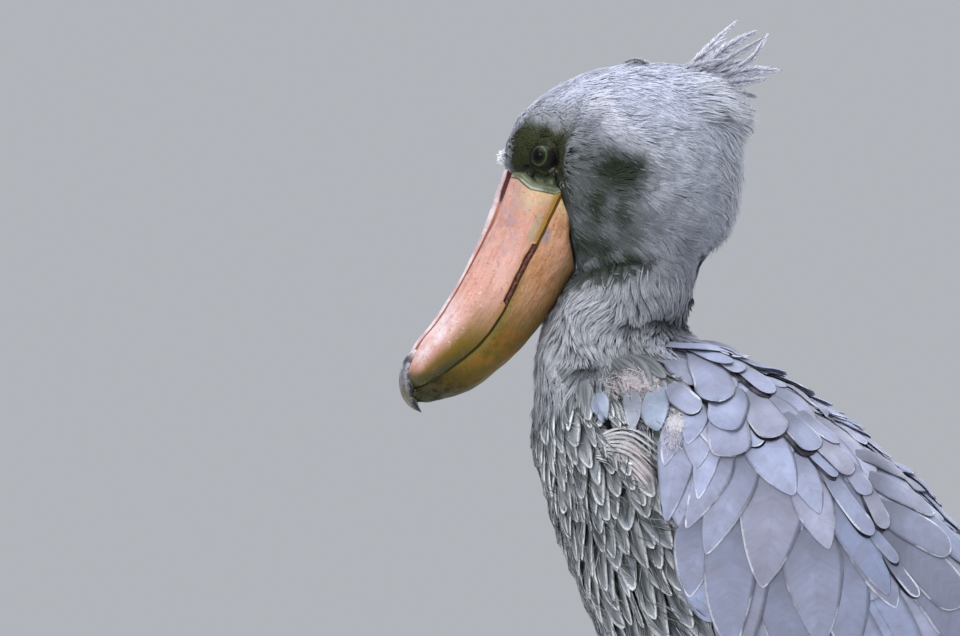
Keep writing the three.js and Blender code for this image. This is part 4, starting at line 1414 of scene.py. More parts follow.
def rows_of_feathers(coat, name, stations, edges, spacing, length, half, shape, base, own, seed,
                     plain_from=None, **how):
    """Rows of feathers on both sides, from the last row to the first.

    edges and spacing are given a row's station, length a feather's, and half, the half width, its station and
    angle. base is a colour and own its share beside the markings. Past the angle plain_from the rims fade.
    """
    random = np.random.default_rng(seed)
    for side, label in ((1, "left"), (-1, "right")):
        k0, phi0 = [], []
        for i, k in enumerate(stations):
            ends = edges(k)
            ring = over_body(np.full(9, k), np.linspace(*ends, 9), 0)
            arc = np.linalg.norm(np.diff(ring, axis=0), axis=1).sum()
            count = max(2, int(arc / spacing(k)))
            share = (np.arange(count) + (i % 2) * 0.5 + 0.15 * random.normal(size=count)) / count
            phi0.append(lerp(*ends, share))
            k0.append(k + random.normal(size=count) * 0.05)
        k0, phi0 = np.concatenate(k0), np.concatenate(phi0)
        order = np.argsort(-k0)
        k0, phi0 = k0[order], phi0[order]
        count = len(k0)
        k1 = k0 + length(k0) * (1 + 0.08 * random.normal(size=count)) / STATION
        phi1 = phi0 + random.normal(size=count) * 2.0
        widths = half(k0, phi0) * (1 + 0.1 * random.normal(size=count))
        tilt = random.normal(size=count) * 0.5
        first, last = mirrored(phi0, side), mirrored(phi1, side)
        made = coat.lay(k0, first, np.minimum(k1, 11.5), last, widths, shape, 10, tilt=tilt, **how)
        if plain_from is not None:
            plain = step(plain_from - 12, plain_from + 6, phi0)
            made[3]["rim"] = made[3]["rim"] + np.repeat(plain, made[2]) * 2.2
        roots = over_body(k0, first, 0)
        tint = plume_tint(count, lerp(marking(roots), base, own), seed + side, 0.07)
        vane_object(f"{name}_{label}", made, name, "plumage", body_uv(k0, first), tint, seed + side)


def trunk_feathers(coat):
    def belly_edges(k, over_wing=6):
        return -90.0, float(wing_edges(k)[0]) + over_wing

    def breast_edges(k):
        return belly_edges(k, 12 if k < 2.8 else 6)

    def mantle_edges(k):
        return float(wing_edges(k)[1]) - 6 if k > 2 else 34.0, 90.0

    def breast_half(k, phi):
        return 5.4 + 3.2 * step(1.4, 3.0, k) + 1.8 * step(-80, -30, phi)

    belly = np.arange(6.3, 9.3, 0.34)
    breast = np.concatenate([np.arange(1.0, 3, 0.26), np.arange(3.0, 6.4, 0.34)])
    mantle = np.concatenate([np.arange(1.4, 3, 0.3), np.arange(3.0, 9.0, 0.42)])
    rows_of_feathers(coat, "belly", belly, belly_edges, lambda k: 13, lambda k: 60, lambda k, phi: 9.5,
                     pointed, BELLY_GREY, 0.7, 61, columns=4, lift=2.0)
    rows_of_feathers(coat, "breast", breast, breast_edges, lambda k: 9.5 if k < 2.2 else 12.5,
                     lambda k: 58 + 16 * step(1.5, 3.5, k), breast_half,
                     oval, BREAST_GREY, 0.6, 51, columns=4, lift=2.2, dome=1.2, plain_from=-4)
    rows_of_feathers(coat, "mantle", mantle, mantle_edges, lambda k: 19 if k < 3 else 22,
                     lambda k: 58 + 12 * step(2, 5, k), lambda k, phi: 14.5,
                     rounded, MANTLE_GREY, 0.7, 71, columns=6, lift=0.2, dome=1.5)


# Rows of the wing from the flight feathers up: station, lowest and highest angle, count, length in stations,
# half width, slant down towards the tip for the lowest and the highest, and the lift of the tip.
WING_ROWS = [
    (7.5, 6, 40, 8, 4.0, 15, 0, 0, 0.5),
    (6.9, 2, 46, 8, 3.6, 18, -4, 0, 0.5),
    (6.2, 0, 52, 8, 3.0, 22, -8, 0, 0.5),
    (5.5, -4, 52, 8, 2.4, 24, -14, -2, 0.8),
    (4.8, -4, 54, 8, 1.9, 26, -20, -3, 1.0),
    (4.1, -6, 56, 8, 1.5, 26, -22, -4, 1.0),
    (3.4, -4, 56, 8, 1.2, 25, -22, -4, 1.2),
    (2.8, 6, 54, 7, 0.9, 22, -20, -4, 1.2),
]


def flight_feathers(coat, side, label, random, seed):
    parts = []
    for k, low_phi, high_phi, count, length, width, low_slant, high_slant, lift in WING_ROWS:
        share = np.arange(count)[::-1] / (count - 1)
        k0 = k + random.normal(size=count) * 0.04
        k1 = np.minimum(k0 + length * (1 + random.normal(size=count) * 0.03), 11.75)
        phi0 = lerp(low_phi, high_phi, share) + random.normal(size=count) * 0.8
        phi1 = phi0 + lerp(low_slant, high_slant, share)
        parts.append((k0, phi0, k1, phi1, np.full(count, float(width)), np.full(count, lift)))
    k0, phi0, k1, phi1, half, lift = (np.concatenate(column) for column in zip(*parts))
    first, last = mirrored(phi0, side), mirrored(phi1, side)
    made = coat.lay(k0, first, k1, last, half, rounded, 14, 8, lift=lift, tilt=-0.5 * side)
    colour = lerp(FLIGHT_GREY, COVERT_BLUE, step(7.0, 4.8, k0)[:, None])
    tint = plume_tint(len(k0), colour, seed + 1, 0.05)
    vane_object(f"wing_{label}_flight", made, "flight", "wing_plumage", body_uv(k0, first), tint, seed)


def with_shadow_copies(table):
    """Each feather of the picture after a near-black copy beneath it, if any, whose edge shows as painted
    shadow, and which of the rows are these copies.
    """
    shadow = table[:, 5:]
    way = unit(table[:, 2:4] - table[:, :2])
    below = np.stack([-way[:, 1], way[:, 0]], 1) * shadow * 1.15
    under = table + np.column_stack([below * 0.3, below + way * shadow * 0.4, shadow * [[-0.3, 0]]])
    both = np.stack([under, table], 1).reshape(-1, 6)
    dark = np.arange(len(both)) % 2 == 0
    kept = ~dark | (both[:, 5] > 0)
    return both[kept], dark[kept]


def shoulder_feathers(coat, side, label, random, seed, name, table, base, shape, lift, gap, dome):
    """One layer of the shoulder as the picture shows it, and a little shuffled on the other side."""
    kind = "collar" if name == "collar" else "covert"
    table = np.array([(*row, 0)[:6] for row in table], float)
    if side < 0:
        table[:, :4] += random.normal(size=(len(table), 4)) * 2.5
    table, dark = with_shadow_copies(table)
    raised = np.clip(0.4 + 0.3 * table[:, 5] + 0.4 * (table[:, 1] < 470) * (table[:, 0] < 800), 0, 1.2)
    root_y, root_z = seen(table[:, 0], table[:, 1])
    tip_y, tip_z = seen(table[:, 2], table[:, 3])
    k0, phi0 = find_places(coat, root_y - 0.3 * (tip_y - root_y), root_z - 0.3 * (tip_z - root_z))
    k1, phi1 = find_places(coat, tip_y, tip_z)
    first, last = mirrored(phi0, side), mirrored(phi1, side)
    how = {
        "thick": 0.6,
        "gap": np.where(dark, 0.2, gap),
        "lift": np.where(dark, 0.4, lift * raised),
        "tilt": -0.6 * side,
        "bow": random.normal(size=len(k0)),
        "dome": np.where(dark, 0.2, dome),
    }
    made = coat.lay(k0, first, k1, last, table[:, 4] * PIXEL * 1.1, shape, 16, 10, **how)
    # Painted shadow: the near-black copies beneath get no pale rim.
    made[3]["rim"] = np.where(np.repeat(dark, made[2]), 50.0, made[3]["rim"])
    tint = plume_tint(len(k0), base, seed + 3, 0.06)
    # Painted shade: feathers lower on the wing are made darker, as less of the light from above reaches them.
    tint = tint * lerp(1, 0.74, step(470, 640, (table[:, 1:2] + table[:, 3:4]) / 2))
    # Painted shadow: the copies beneath take the near-black colour.
    tint = lerp(tint, GAP_SHADOW, dark[:, None] * 1.0)
    vane_object(f"wing_{label}_{name}", made, kind, "wing_plumage", body_uv(k0, first), tint, seed + 5)


# Layers of the shoulder: name, feathers, colour, shape, and lift of the tips, gap and dome in millimetres.
SHOULDER = [
    ("collar", COLLAR, COLLAR_GREY, oval, 1.5, 1.0, 1.2),
    ("coverts", COVERTS, COVERT_BLUE, blade, 1.4, 0.15, 4.5),
    ("scapulars", SCAPULARS, SCAPULAR_BLUE, squared, 3.4, 0.5, 2.8),
]


def wing_feathers(coat, side, label, seed):
    random = np.random.default_rng(seed)
    flight_feathers(coat, side, label, random, seed)
    for layer in SHOULDER:
        shoulder_feathers(coat, side, label, random, seed, *layer)


# Loose barbs before the wing, seen in the picture: the highest and the lowest of their arcs.
FAN_TOP = [(594, 440), (608, 429), (632, 427), (662, 448)]
FAN_BOTTOM = [(594, 458), (606, 462), (628, 474), (652, 506)]
FAN_STRIPES = 9
FAN_BARBS = 900
# Patches of down at the shoulder and on the wing: place, half width and height in pixels, colour, count,
# length and the angle of their lie. The two near-black patches are painted shade.
SHOULDER_DOWN = [
    (636, 383, 24, 9, linear(204, 194, 198), 1500, 8, 20),
    (644, 414, 5, 8, linear(22, 24, 26), 60, 11, 80),
    (600, 422, 6, 9, linear(30, 32, 36), 80, 14, 80),
]
WRIST_DOWN = [
    (673, 420, 6, 6, linear(224, 220, 228), 1100, 5, 60),
    (668, 438, 7, 8, linear(200, 198, 214), 160, 8, 80),
]
# Where a strand's four points lie on its way from root to tip.
STRAND = np.array([0, 0.35, 0.7, 1])


def on_coat(coat, px, py, rise):
    """Points over the feathers of the left side, seen at px and py in the picture, and the way out there."""
    y, z = seen(px, py)
    k, phi = (value.reshape(px.shape) for value in find_places(coat, y.ravel(), z.ravel()))
    height = coat.height[coat.cell(k, phi)] + rise
    p = over_body(k, phi, height)
    out = unit(over_body(k, phi, height + 1) - p)
    p = np.stack([p[..., 0], y, z], -1)
    p[:, 1:-1, 0] = (p[:, :-2, 0] + 2 * p[:, 1:-1, 0] + p[:, 2:, 0]) / 4
    return p, unit(out.mean(1))


def fan_barbs(random, coat):
    """Curved loose barbs between breast and wing, in pale stripes, with near-black barbs between them as
    painted shade in the gaps.
    """
    count = FAN_BARBS
    share = np.sort(random.random(count))
    start = random.uniform(-0.05, 0.55, count)
    t = start[:, None] + np.linspace(0, 0.45, 4)
    across = share[:, None] + 0.012 * random.normal(size=(count, 4))
    px, py = np.moveaxis(lerp(curve(FAN_TOP)(t), curve(FAN_BOTTOM)(t), across[..., None]), -1, 0)
    pale = step(-0.7, 0.5, np.sin(share * FAN_STRIPES * 2 * np.pi + 0.8 * random.random(count)))
    far = step(0.15, 0.5, start) * step(0.1, 0.4, share)
    pale = lerp(pale, 1.0, 0.5 * far * random.random(count))
    rise = (2.6 + 3.0 * pale)[:, None] * np.array([0.7, 1, 1, 0.7])
    bright = (pale * random.uniform(0.55, 1.0, count))[:, None]
    # Painted shade: the barbs between the pale stripes are near black.
    tints = lerp(linear(24, 27, 30), linear(246, 246, 250), bright)
    tints = lerp(tints, linear(250, 232, 234), (0.6 * far * pale)[:, None])
    return *on_coat(coat, px, py, rise), tints, random.uniform(0.5, 0.9, count)


def down_patch(random, coat, x0, y0, wide, tall, colour, number, length, lies):
    """Down that lies towards an angle of the picture, in degrees below the level."""
    px = x0 + wide * 0.6 * random.normal(size=number)
    py = y0 + tall * 0.6 * random.normal(size=number)
    way = np.radians(lies + 38 * random.normal(size=(number, 1)))
    t = STRAND * length * random.uniform(0.6, 1.2, (number, 1))
    px, py = px[:, None] + t * np.cos(way), py[:, None] + t * np.sin(way)
    rise = np.array([0.3, 1.2, 1.6, 1.2]) * random.uniform(0.4, 1.2, (number, 1))
    tints = colour * (1 + 0.15 * random.normal(size=(number, 1)))
    return *on_coat(coat, px, py, rise), tints, random.uniform(0.4, 0.8, number)


def strands(paths, widths, name, material, slot, tints, unwrap, out=None):
    """Loose barbs along paths of four points from root to tip. With out given, they are lit as one coat."""
    root, first, second, tip = (paths[:, i] for i in range(4))
    aside = X + 0.01 if out is None else out
    parts = spindles(root, np.stack([first, second], 1), tip, widths, widths * 0.5, aside)
    if out is None:
        parts = parts[:4] + (None,)
    tuft_objects(name, parts, material, slot, unwrap, tints, root)


def both_sides(name, parts):
    """Strands made for the left side, and their mirror image."""
    paths, out, tints, widths = (np.concatenate(group) for group in zip(*parts))
    paths = np.concatenate([paths, paths * [-1, 1, 1]])
    out = np.concatenate([out, out * [-1, 1, 1]])
    tints = np.clip(np.tile(tints, (2, 1)), 0, 1)
    strands(paths, np.tile(widths, 2), name, BARB_MATERIAL, "pale_plumage", tints, head_unwrap, out)


def shoulder_barbs(coat):
    random = np.random.default_rng(95)
    patches = [down_patch(random, coat, *patch) for patch in SHOULDER_DOWN]
    both_sides("shoulder_barbs", [fan_barbs(random, coat)] + patches)


def wrist_down(coat):
    random = np.random.default_rng(97)
    both_sides("wrist_down", [down_patch(random, coat, *patch) for patch in WRIST_DOWN])


def breast_barbs(coat):
    """Frayed ends over the breast, thickest at its front."""
    random = np.random.default_rng(96)
    count = 5200
    k = random.uniform(1.0, 6.0, count)
    phi = -90 + 95 * random.random(count) ** 1.5
    phi = np.where(random.random(count) < 0.5, phi, 180 - phi)
    long = random.uniform(0.22, 0.42, count)
    sway = waves(np.stack([k * 60, phi * 2, 0 * k], 1), 60, 97)[:, None]
    drift = random.normal(size=(count, 1)) * 3.5 + 4 * sway
    kk = k[:, None] + long[:, None] * STRAND
    pp = phi[:, None] + drift * STRAND**1.5
    rise = np.array([0.2, 1.0, 1.6, 2.0]) * random.uniform(0.4, 1.3, (count, 1))
    paths = over_body(kk, pp, coat.height[coat.cell(kk, pp)] + rise)
    out = unit(over_body(k, phi, 20.0) - over_body(k, phi, 10.0))
    light = random.random((count, 1)) ** 1.8
    tints = lerp(linear(52, 56, 60), linear(206, 208, 210), light)
    uv = body_uv(k, phi)
    widths = random.uniform(0.5, 1.0, count)
    strands(paths, widths, "breast_barbs", BARB_MATERIAL, "plumage", tints, lambda p: uv, out)


def tail_feathers():
    count, rows, columns = 12, 14, 8
    random = np.random.default_rng(81)
    up = np.array([0, np.sin(TAIL_PITCH), np.cos(TAIL_PITCH)])
    aside = (np.arange(count) / (count - 1) - 0.5) * 2
    rank = 2 * np.abs(np.arange(count) - (count - 1) / 2) + np.where(np.arange(count) % 2, 0.5, 0)
    start = TAIL_ROOT + TAIL_ALONG * 5 + X * (aside * 22)[:, None]
    fan = unit(X * (aside * 0.13)[:, None] + TAIL_ALONG)
    length = 219 - np.abs(aside) * 16
    v = toward_tip(rows)
    u = np.linspace(-1, 1, columns + 1)
    lift = (4 - 1.1 * rank)[:, None] - 6 * v**2
    line = start[:, None] + fan[:, None] * (length[:, None] * v)[..., None] + up * lift[..., None]
    width = 16.5 * np.broadcast_to(rounded(v), (count, rows))
    x = (width[:, :, None] * u)[..., None]
    across = np.cross(up, fan)[:, None, None]
    top = line[:, :, None] + across * x - up * (0.001 * x**2)
    made = vane_mesh(top, 0.6, up, width, v, u, length)
    tint = plume_tint(count, FLIGHT_GREY, 82, 0.03)
    uv = np.stack([0.5 + aside * 0.2, 0.9 + 0.05 * random.random(count)], 1)
    vane_object("tail_vanes", made, "flight", "plumage", uv, tint, 83)


def in_bill_room(p, spare):
    x, a, d = to_bill(p)
    share = bill_share(np.clip(a, -BILL_BASE, BILL_END))
    wide = bill_width(share) * BILL_HALF + spare
    inside = (x < wide) & (d < ridge_line(share) + spare) & (d > chin_line(share) - spare) & (a < BILL_END)
    start = np.where(d > mouth_line(share), np.interp(d, *UPPER_EDGE), np.interp(d, *LOWER_EDGE))
    return inside & (a > start - 1.0)


def eye_distance(p):
    return np.minimum(np.linalg.norm(p - EYE, axis=1), np.linalg.norm(p - EYE * [-1, 1, 1], axis=1))


def eye_angle(p):
    """Degrees off the way the nearer eye looks, or 180 well away from the eyes."""
    nearer = p * [[1, 1, 1]]
    nearer[:, 0] = np.abs(nearer[:, 0])
    centre, looks, _, _ = eye_frame(1)
    rel = nearer - centre
    off = np.degrees(np.arccos(np.clip(unit(rel) @ looks, -1, 1)))
    return np.where(np.linalg.norm(rel, axis=1) < 24, off, 180)


def wander(p, sizes, seed):
    """Smooth sideways drift, one field of waves for each axis."""
    return np.stack([waves(p, size, seed + i) for i, size in enumerate(sizes)], 1)


def along_skin(flow, normal):
    """The way of the coat, with what points into or out of the skin taken away."""
    return unit(flow - normal * (flow * normal).sum(1)[:, None])


def clumped(root, tip, cell, share, seed):
    """Draws the tips of tufts that start near one another together, as the barbs of one small feather.

    It gives the new tips, how far out each tuft stands in its clump, and a number for each clump.
    """
    jitter = 0.5 * wander(root, [3.1 * max(cell)] * 3, seed)
    index = np.floor(root / cell + jitter).astype(np.int64)
    _, clump = np.unique(index, axis=0, return_inverse=True)
    clump = clump.ravel()
    count = np.bincount(clump)[:, None]

    def mean(p):
        return np.stack([np.bincount(clump, p[:, i]) for i in range(3)], 1) / count

    off = root - mean(root)[clump]
    middle = mean(tip)[clump] + off * 0.15
    out = np.clip(np.linalg.norm(off / cell, axis=1) * 1.7, 0, 1)
    number = np.random.default_rng(seed).normal(size=len(count))[clump]
    return lerp(tip, middle, share), out, number


def head_tufts(skin, tree):
    def density(p, normal):
        y, z = p[:, 1], p[:, 2]
        on_head = step(918, 934, z + 0.15 * (y + 100))
        fine = 0.66 + 0.5 * step(40, 25, eye_distance(p)) + 0.3 * step(-185, -205, y)
        off_band = near_line(p, BASE_BAND, 7) * ahead_of_cheek(p) < 0.5
        return on_head * fine * (~in_bill_room(p, 0.5) & (eye_angle(p) > 66) & off_band)

    root, normal, random = scattered(skin.data, density, 7)
    count = len(root)
    y, z = root[:, 1], root[:, 2]
    back = step(-62, -10, y)
    flow = np.stack([np.zeros(count), np.ones(count), -0.3 - 1.5 * back - 0.5 * step(1010, 950, z)], 1)
    flow += 0.35 * wander(root, (34, 30, 30), 11)
    flow += 0.13 * random.normal(size=(count, 3))
    flow = along_skin(flow, normal)
    behind = y - np.interp(z, *CHEEK_EDGE)
    face = step(3, -3, behind) * step(1108, 1085, z) * (np.abs(root[:, 0]) > 12)
    length = 17 + 5 * step(1060, 970, z) + 3 * random.normal(size=count)
    length = lerp(length, 7.5, face) * lerp(1, 0.7, step(-195, -220, y))
    length = length * lerp(1, 0.45, step(32, 18, eye_distance(root)))
    length = length * lerp(1, 0.45, near_line(root, BASE_BAND, 17) * ahead_of_cheek(root))
    length = np.maximum(length, 2.6)
    soft = 0.5 + 0.5 * waves(root, 22, 14)
    lift = lerp(0.9 + 1.8 * soft + 0.5 * np.abs(random.normal(size=count)), 0.7, face)
    lift += 3.0 * step(-3, 2, behind) * step(16, 6, behind) * step(1000, 1015, z) * step(1105, 1080, z)
    aim = root + flow * length[:, None]
    fluffy = step(1105, 1060, z) * (1 - face)
    drawn, out, number = clumped(root, aim, np.array([6.0, 6.5, 6.0]), 0.5, 43)
    aim = lerp(aim, drawn, (lerp(0.2, 1.0, fluffy) * (1 - face))[:, None])
    lift = lift * lerp(1, lerp(1.25, 0.7, out), 1 - face) * lerp(1, 0.55, back)
    tip = settled(tree, aim, lift)
    middle = (root + tip) / 2 + normal * (0.22 * lift)[:, None]
    width = lerp(1.25, 0.85, face) * (0.75 + 0.5 * random.random(count))
    parts = spindles(root - normal * 0.8, middle, tip, width, width * 0.16, normal)
    # Each clump a little lighter or darker at random, and painted shade: darker towards the clump's edge,
    # between clumps.
    uneven = (0.02 + 0.06 * fluffy) * number + (0.02 + 0.12 * fluffy) * (0.45 - out)
    tint = marking(root) * (1 + 0.06 * random.normal(size=(count, 1)) + (uneven * (1 - face))[:, None])
    tint = np.clip(tint, 0, 1)
    tuft_objects("head_coat", parts, TUFT_MATERIAL, "pale_plumage", head_unwrap, tint, root)


def neck_tufts(skin, tree):
    def density(p, normal):
        y, z = p[:, 1], p[:, 2]
        down = (y + 158) * 0.62 + (888 - z) * 0.78
        zone = step(945, 930, z + 0.15 * (y + 100)) * step(72, 46, down)
        return zone * 0.42 * ~in_bill_room(p, 1.0)

    def unwrap(p):
        return np.stack([turned(p[:, 0], p[:, 1] + 118), (p[:, 2] - 760) / 200], 1)

    root, normal, random = scattered(skin.data, density, 8)
    count = len(root)
    y, z = root[:, 1], root[:, 2]
    flow = np.stack([0.1 * root[:, 0] / 80, 0.25 * step(-120, -60, y), -np.ones(count)], 1)
    flow += 0.55 * wander(root, (60, 52, 46), 21)
    flow += 0.12 * random.normal(size=(count, 3))
    flow = along_skin(flow, normal)
    low_front = step(880, 840, z) * step(-90, -130, y)
    length = (20 + 4 * random.normal(size=count)) * lerp(1, 1.5, low_front)
    soft = 0.5 + 0.5 * waves(root, 30, 24)
    lift = 2.0 + 3.0 * soft + 1.0 * np.abs(random.normal(size=count))
    drawn, out, number = clumped(root, root + flow * length[:, None], np.array([7.5, 7.5, 14.0]), 0.6, 47)
    lift = lift * lerp(1.3, 0.6, out)
    tip = settled(tree, drawn, lift)
    first = settled(tree, lerp(root, drawn, 0.4), 0.6 + 0.35 * lift)
    second = (first + tip) / 2 + normal * 0.4
    width = 1.8 * (0.7 + 0.6 * random.random(count))
    parts = spindles(root - normal, np.stack([first, second], 1), tip, width, width * 0.16, normal)
    # Each clump a little lighter or darker at random, and painted shade: darker towards the clump's edge,
    # between clumps.
    uneven = 0.12 * number + 0.28 * (0.4 - out)
    tint = np.clip(marking(root) * (1 + 0.08 * random.normal(size=(count, 1)) + uneven[:, None]), 0, 1)
    tuft_objects("neck_coat", parts, NECK_MATERIAL, "pale_plumage", unwrap, tint, root)


def thigh_tufts(skin):
    def density(p, normal):
        near_leg = np.hypot(np.abs(p[:, 0]) - 66, p[:, 1] - 26) < 66
        return 0.05 * near_leg * step(560, 545, p[:, 2]) * (p[:, 2] < 560)

    def unwrap(p):
        """The two thighs side by side."""
        side = np.sign(p[:, 0])
        turn = turned(p[:, 0] * side - 70, p[:, 1] - 28)
        return np.stack([0.25 + side * 0.25 + turn * 0.49 * 0.99, (p[:, 2] - 320) / 260], 1)

    root, normal, random = scattered(skin.data, density, 9)
    count = len(root)
    flow = np.stack([0.1 * waves(root, 40, 31), 0.12 + 0.1 * waves(root, 40, 32), -np.ones(count)], 1)
    flow += 0.12 * random.normal(size=(count, 3))
    flow = along_skin(flow, normal)
    length = 30 - 10 * step(400, 345, root[:, 2]) + 4 * random.normal(size=count)
    lift = 2.0 + 2.5 * np.abs(random.normal(size=count))
    tip = root + flow * length[:, None] + normal * lift[:, None]
    tip[:, 2] = np.maximum(tip[:, 2], 322)
    first = lerp(root, tip, 0.4) + normal * 0.8
    second = lerp(root, tip, 0.75) + normal * 0.8
    width = 3.2 * (0.8 + 0.4 * random.random(count))
    parts = spindles(root - normal, np.stack([first, second], 1), tip, width, width * 0.25, normal)
    tint = plume_tint(count, MANTLE_GREY, 33, 0.1)
    tuft_objects("thigh_coat", parts, TUFT_MATERIAL, "plumage", unwrap, tint, root)


# Plumes of the crest: root, middle and tip in the picture, half width in pixels, sideways lean and lightness.
# The last two are the dark tuft on the crown.
PLUMES = [
    (688, 70, 715, 42, 738, 20, 3.6, -6, 1.0),
    (684, 70, 706, 54, 727, 38, 3.4, 4, 0.9),
    (698, 74, 728, 48, 757, 31, 5.5, 8, 1.0),
    (706, 76, 747, 63, 769, 33, 3.4, -10, 0.95),
    (702, 76, 738, 54, 764, 38, 3.4, 12, 0.85),
    (720, 78, 752, 71, 782, 71, 5.5, 3, 1.0),
    (718, 82, 748, 75, 774, 66, 3.8, -5, 0.85),
    (712, 86, 740, 83, 766, 79, 5.0, 12, 0.9),
    (722, 92, 742, 93, 758, 97, 5.0, -9, 0.9),
    (676, 72, 700, 66, 722, 60, 5.0, 10, 0.9),
    (700, 80, 724, 68, 744, 60, 5.0, -12, 0.85),
    (726, 100, 742, 105, 756, 112, 4.5, 8, 0.85),
    (734, 112, 746, 122, 754, 134, 4.0, -4, 0.85),
    (650, 67, 637, 60, 622, 63, 2.4, 8, 0.62),
    (652, 67, 641, 62, 626, 65, 2.4, 4, 0.7),
]
SHAFT_PARTS = 5


def plume(random, points, half, lean):
    """The loose barbs of one plume, then the parts of its shaft, as strands with their widths."""
    y, z = seen(points[0::2], points[1::2])
    shaft = curve(np.stack([np.array([0.9, 1.4, 1.9]) * lean, y, z], 1))
    count = int(np.linalg.norm(shaft(1.0) - shaft(0.0)) * 6)
    t = np.sort(random.uniform(0.0, 0.9, count))
    reach = random.uniform(0.16, 0.3, count) * (1 - 0.35 * t)
    side = random.choice([-1.0, 1.0], count)
    ends = np.minimum(t + reach, 1.0)
    off = half * 1.5 * np.sqrt(np.clip(1.02 - ends, 0, 1)) * random.uniform(0.3, 1.15, count)
    across = unit(np.cross(X, shaft(ends + 0.02) - shaft(ends - 0.02)))
    end = shaft(ends) + across * (side * off)[:, None]
    end = end + X * (random.normal(size=count) * off * 0.6)[:, None]
    aside = end - shaft(ends)
    first = shaft(lerp(t, ends, 0.35)) + aside * 0.25
    second = shaft(lerp(t, ends, 0.7)) + aside * 0.65
    paths = [np.stack([shaft(t), first, second, end], 1)]
    widths = [random.uniform(0.5, 0.85, count)]
    for part in range(SHAFT_PARTS):
        start = part * 0.2
        paths.append(shaft(np.array([start, start + 0.08, start + 0.15, min(start + 0.24, 1.0)]))[None])
        widths.append(np.array([1.3 - 0.15 * part]))
    return np.concatenate(paths), np.concatenate(widths)


def crest():
    random = np.random.default_rng(91)
    made = [(*plume(random, points, half, lean), shade) for *points, half, lean, shade in PLUMES]
    paths = np.concatenate([paths for paths, _, _ in made])
    widths = np.concatenate([widths for _, widths, _ in made])
    shades = np.concatenate([np.full(len(widths), shade**2) for _, widths, shade in made])[:, None]
    shades = shades * (1 + 0.16 * random.normal(size=(len(paths), 1)))
    tints = np.clip(linear(204, 204, 218) * shades, 0, 1)
    strands(paths, widths, "crest", CREST_MATERIAL, "pale_plumage", tints, head_unwrap)


# Where the crest grows, in the picture: place, half width, half height and softness.
CREST_ROOT = (722, 90, 30, 24, 1.4)


def crown_and_nape(p):
    """How far points lie on the back of the crown, and on the nape."""
    y, z = p[:, 1], p[:, 2]
    return step(-85, -45, y) * step(1060, 1085, z), step(-60, -25, y)


def wisps(skin):
    """Loose fine ends that stand off the back of the crown, the nape and the edges of the head."""

    def density(p, normal):
        z = p[:, 2]
        crown, nape = crown_and_nape(p)
        clear = ~in_bill_room(p, 4.0) & (eye_distance(p) > 40)
        nape = nape * step(930, 960, z)
        base = blob(p, *CREST_ROOT)
        return clear * (0.008 * step(930, 950, z) + 0.09 * crown + 0.05 * nape + 0.25 * base)

    root, normal, random = scattered(skin.data, density, 17)
    count = len(root)
    crown, nape = crown_and_nape(root)
    edge = np.maximum(crown, nape)
    base = blob(root, *CREST_ROOT)
    back = step(-62, -10, root[:, 1])
    flow = np.stack([np.zeros(count), np.ones(count), -0.3 - 1.2 * back + 0.5 * crown], 1)
    flow += 0.35 * wander(root, (30, 28, 26), 11)
    flow = along_skin(flow, normal)
    length = random.uniform(15, 24, count) * lerp(0.6, 1, edge) * lerp(1, 1.25, crown) * lerp(1, 1.3, base)
    rise = random.uniform(3, 6.5, count) * lerp(0.6, 1, edge) * lerp(1, 1.6, crown) * lerp(1, 1.6, base)
    paths = [root]
    for on, up in ((0.35, 0.35), (0.7, 0.65), (0.97, 1.0)):
        paths.append(root + flow * (length * on)[:, None] + normal * (rise * up)[:, None])
    tints = lerp(marking(root), linear(205, 207, 218), lerp(0.2, 0.55, edge)[:, None])
    widths = lerp(0.5, 0.75, edge)
    paths = np.stack(paths, 1)
    strands(paths, widths, "wisps", CREST_MATERIAL, "pale_plumage", tints, head_unwrap, normal)


def forehead_fluff():
    """The pale whiskers over the root of the bill."""
    random = np.random.default_rng(92)
    count = 220
    y0, z0 = seen(502.5, 157)
    root = np.array([0, y0 + 3, z0 - 1]) + random.normal(size=(count, 3)) * [2.0, 1.0, 2.4]
    way = unit(np.array([0, -1, 0.15]) + random.normal(size=(count, 3)) * [0.5, 0.5, 0.55])
    ends = root + way * random.uniform(3, 9, count)[:, None]
    paths = lerp(root[:, None], ends[:, None], STRAND[:, None])
    tints = np.broadcast_to(linear(236, 238, 242), (count, 3))
    widths = np.full(count, 0.8)
    strands(paths, widths, "forehead_fluff", CREST_MATERIAL, "pale_plumage", tints, head_unwrap)


# Bill, eyes and legs
def mouth_strip(a):
    """1 where the upper edge of the mouth is drawn up and the dark inside shows."""
    return step(53, 55, a) * step(114.5, 112.5, a)


def bill_object(name, verts, faces, top, bottom, edge):
    """A piece of the bill with its places on the bill, which its material reads."""
    ob = mesh_object(name, verts, faces)
    x, a, d = to_bill(verts)
    share = bill_share(np.clip(a, -BILL_BASE, BILL_END))
    point_value(ob, "bill_a", a)
    point_value(ob, "bill_x", x / keel_width(a))
    point_value(ob, "bill_strip", (ridge_line(share) - d) / np.maximum(keel_height(a), 1))
    point_value(ob, "bill_h", (d - bottom(share)) / np.maximum(top(share) - bottom(share), 1))
    point_value(ob, "bill_up", d - mouth_line(share))
    point_value(ob, "bill_edge", a - np.interp(d, *edge))
    return ob


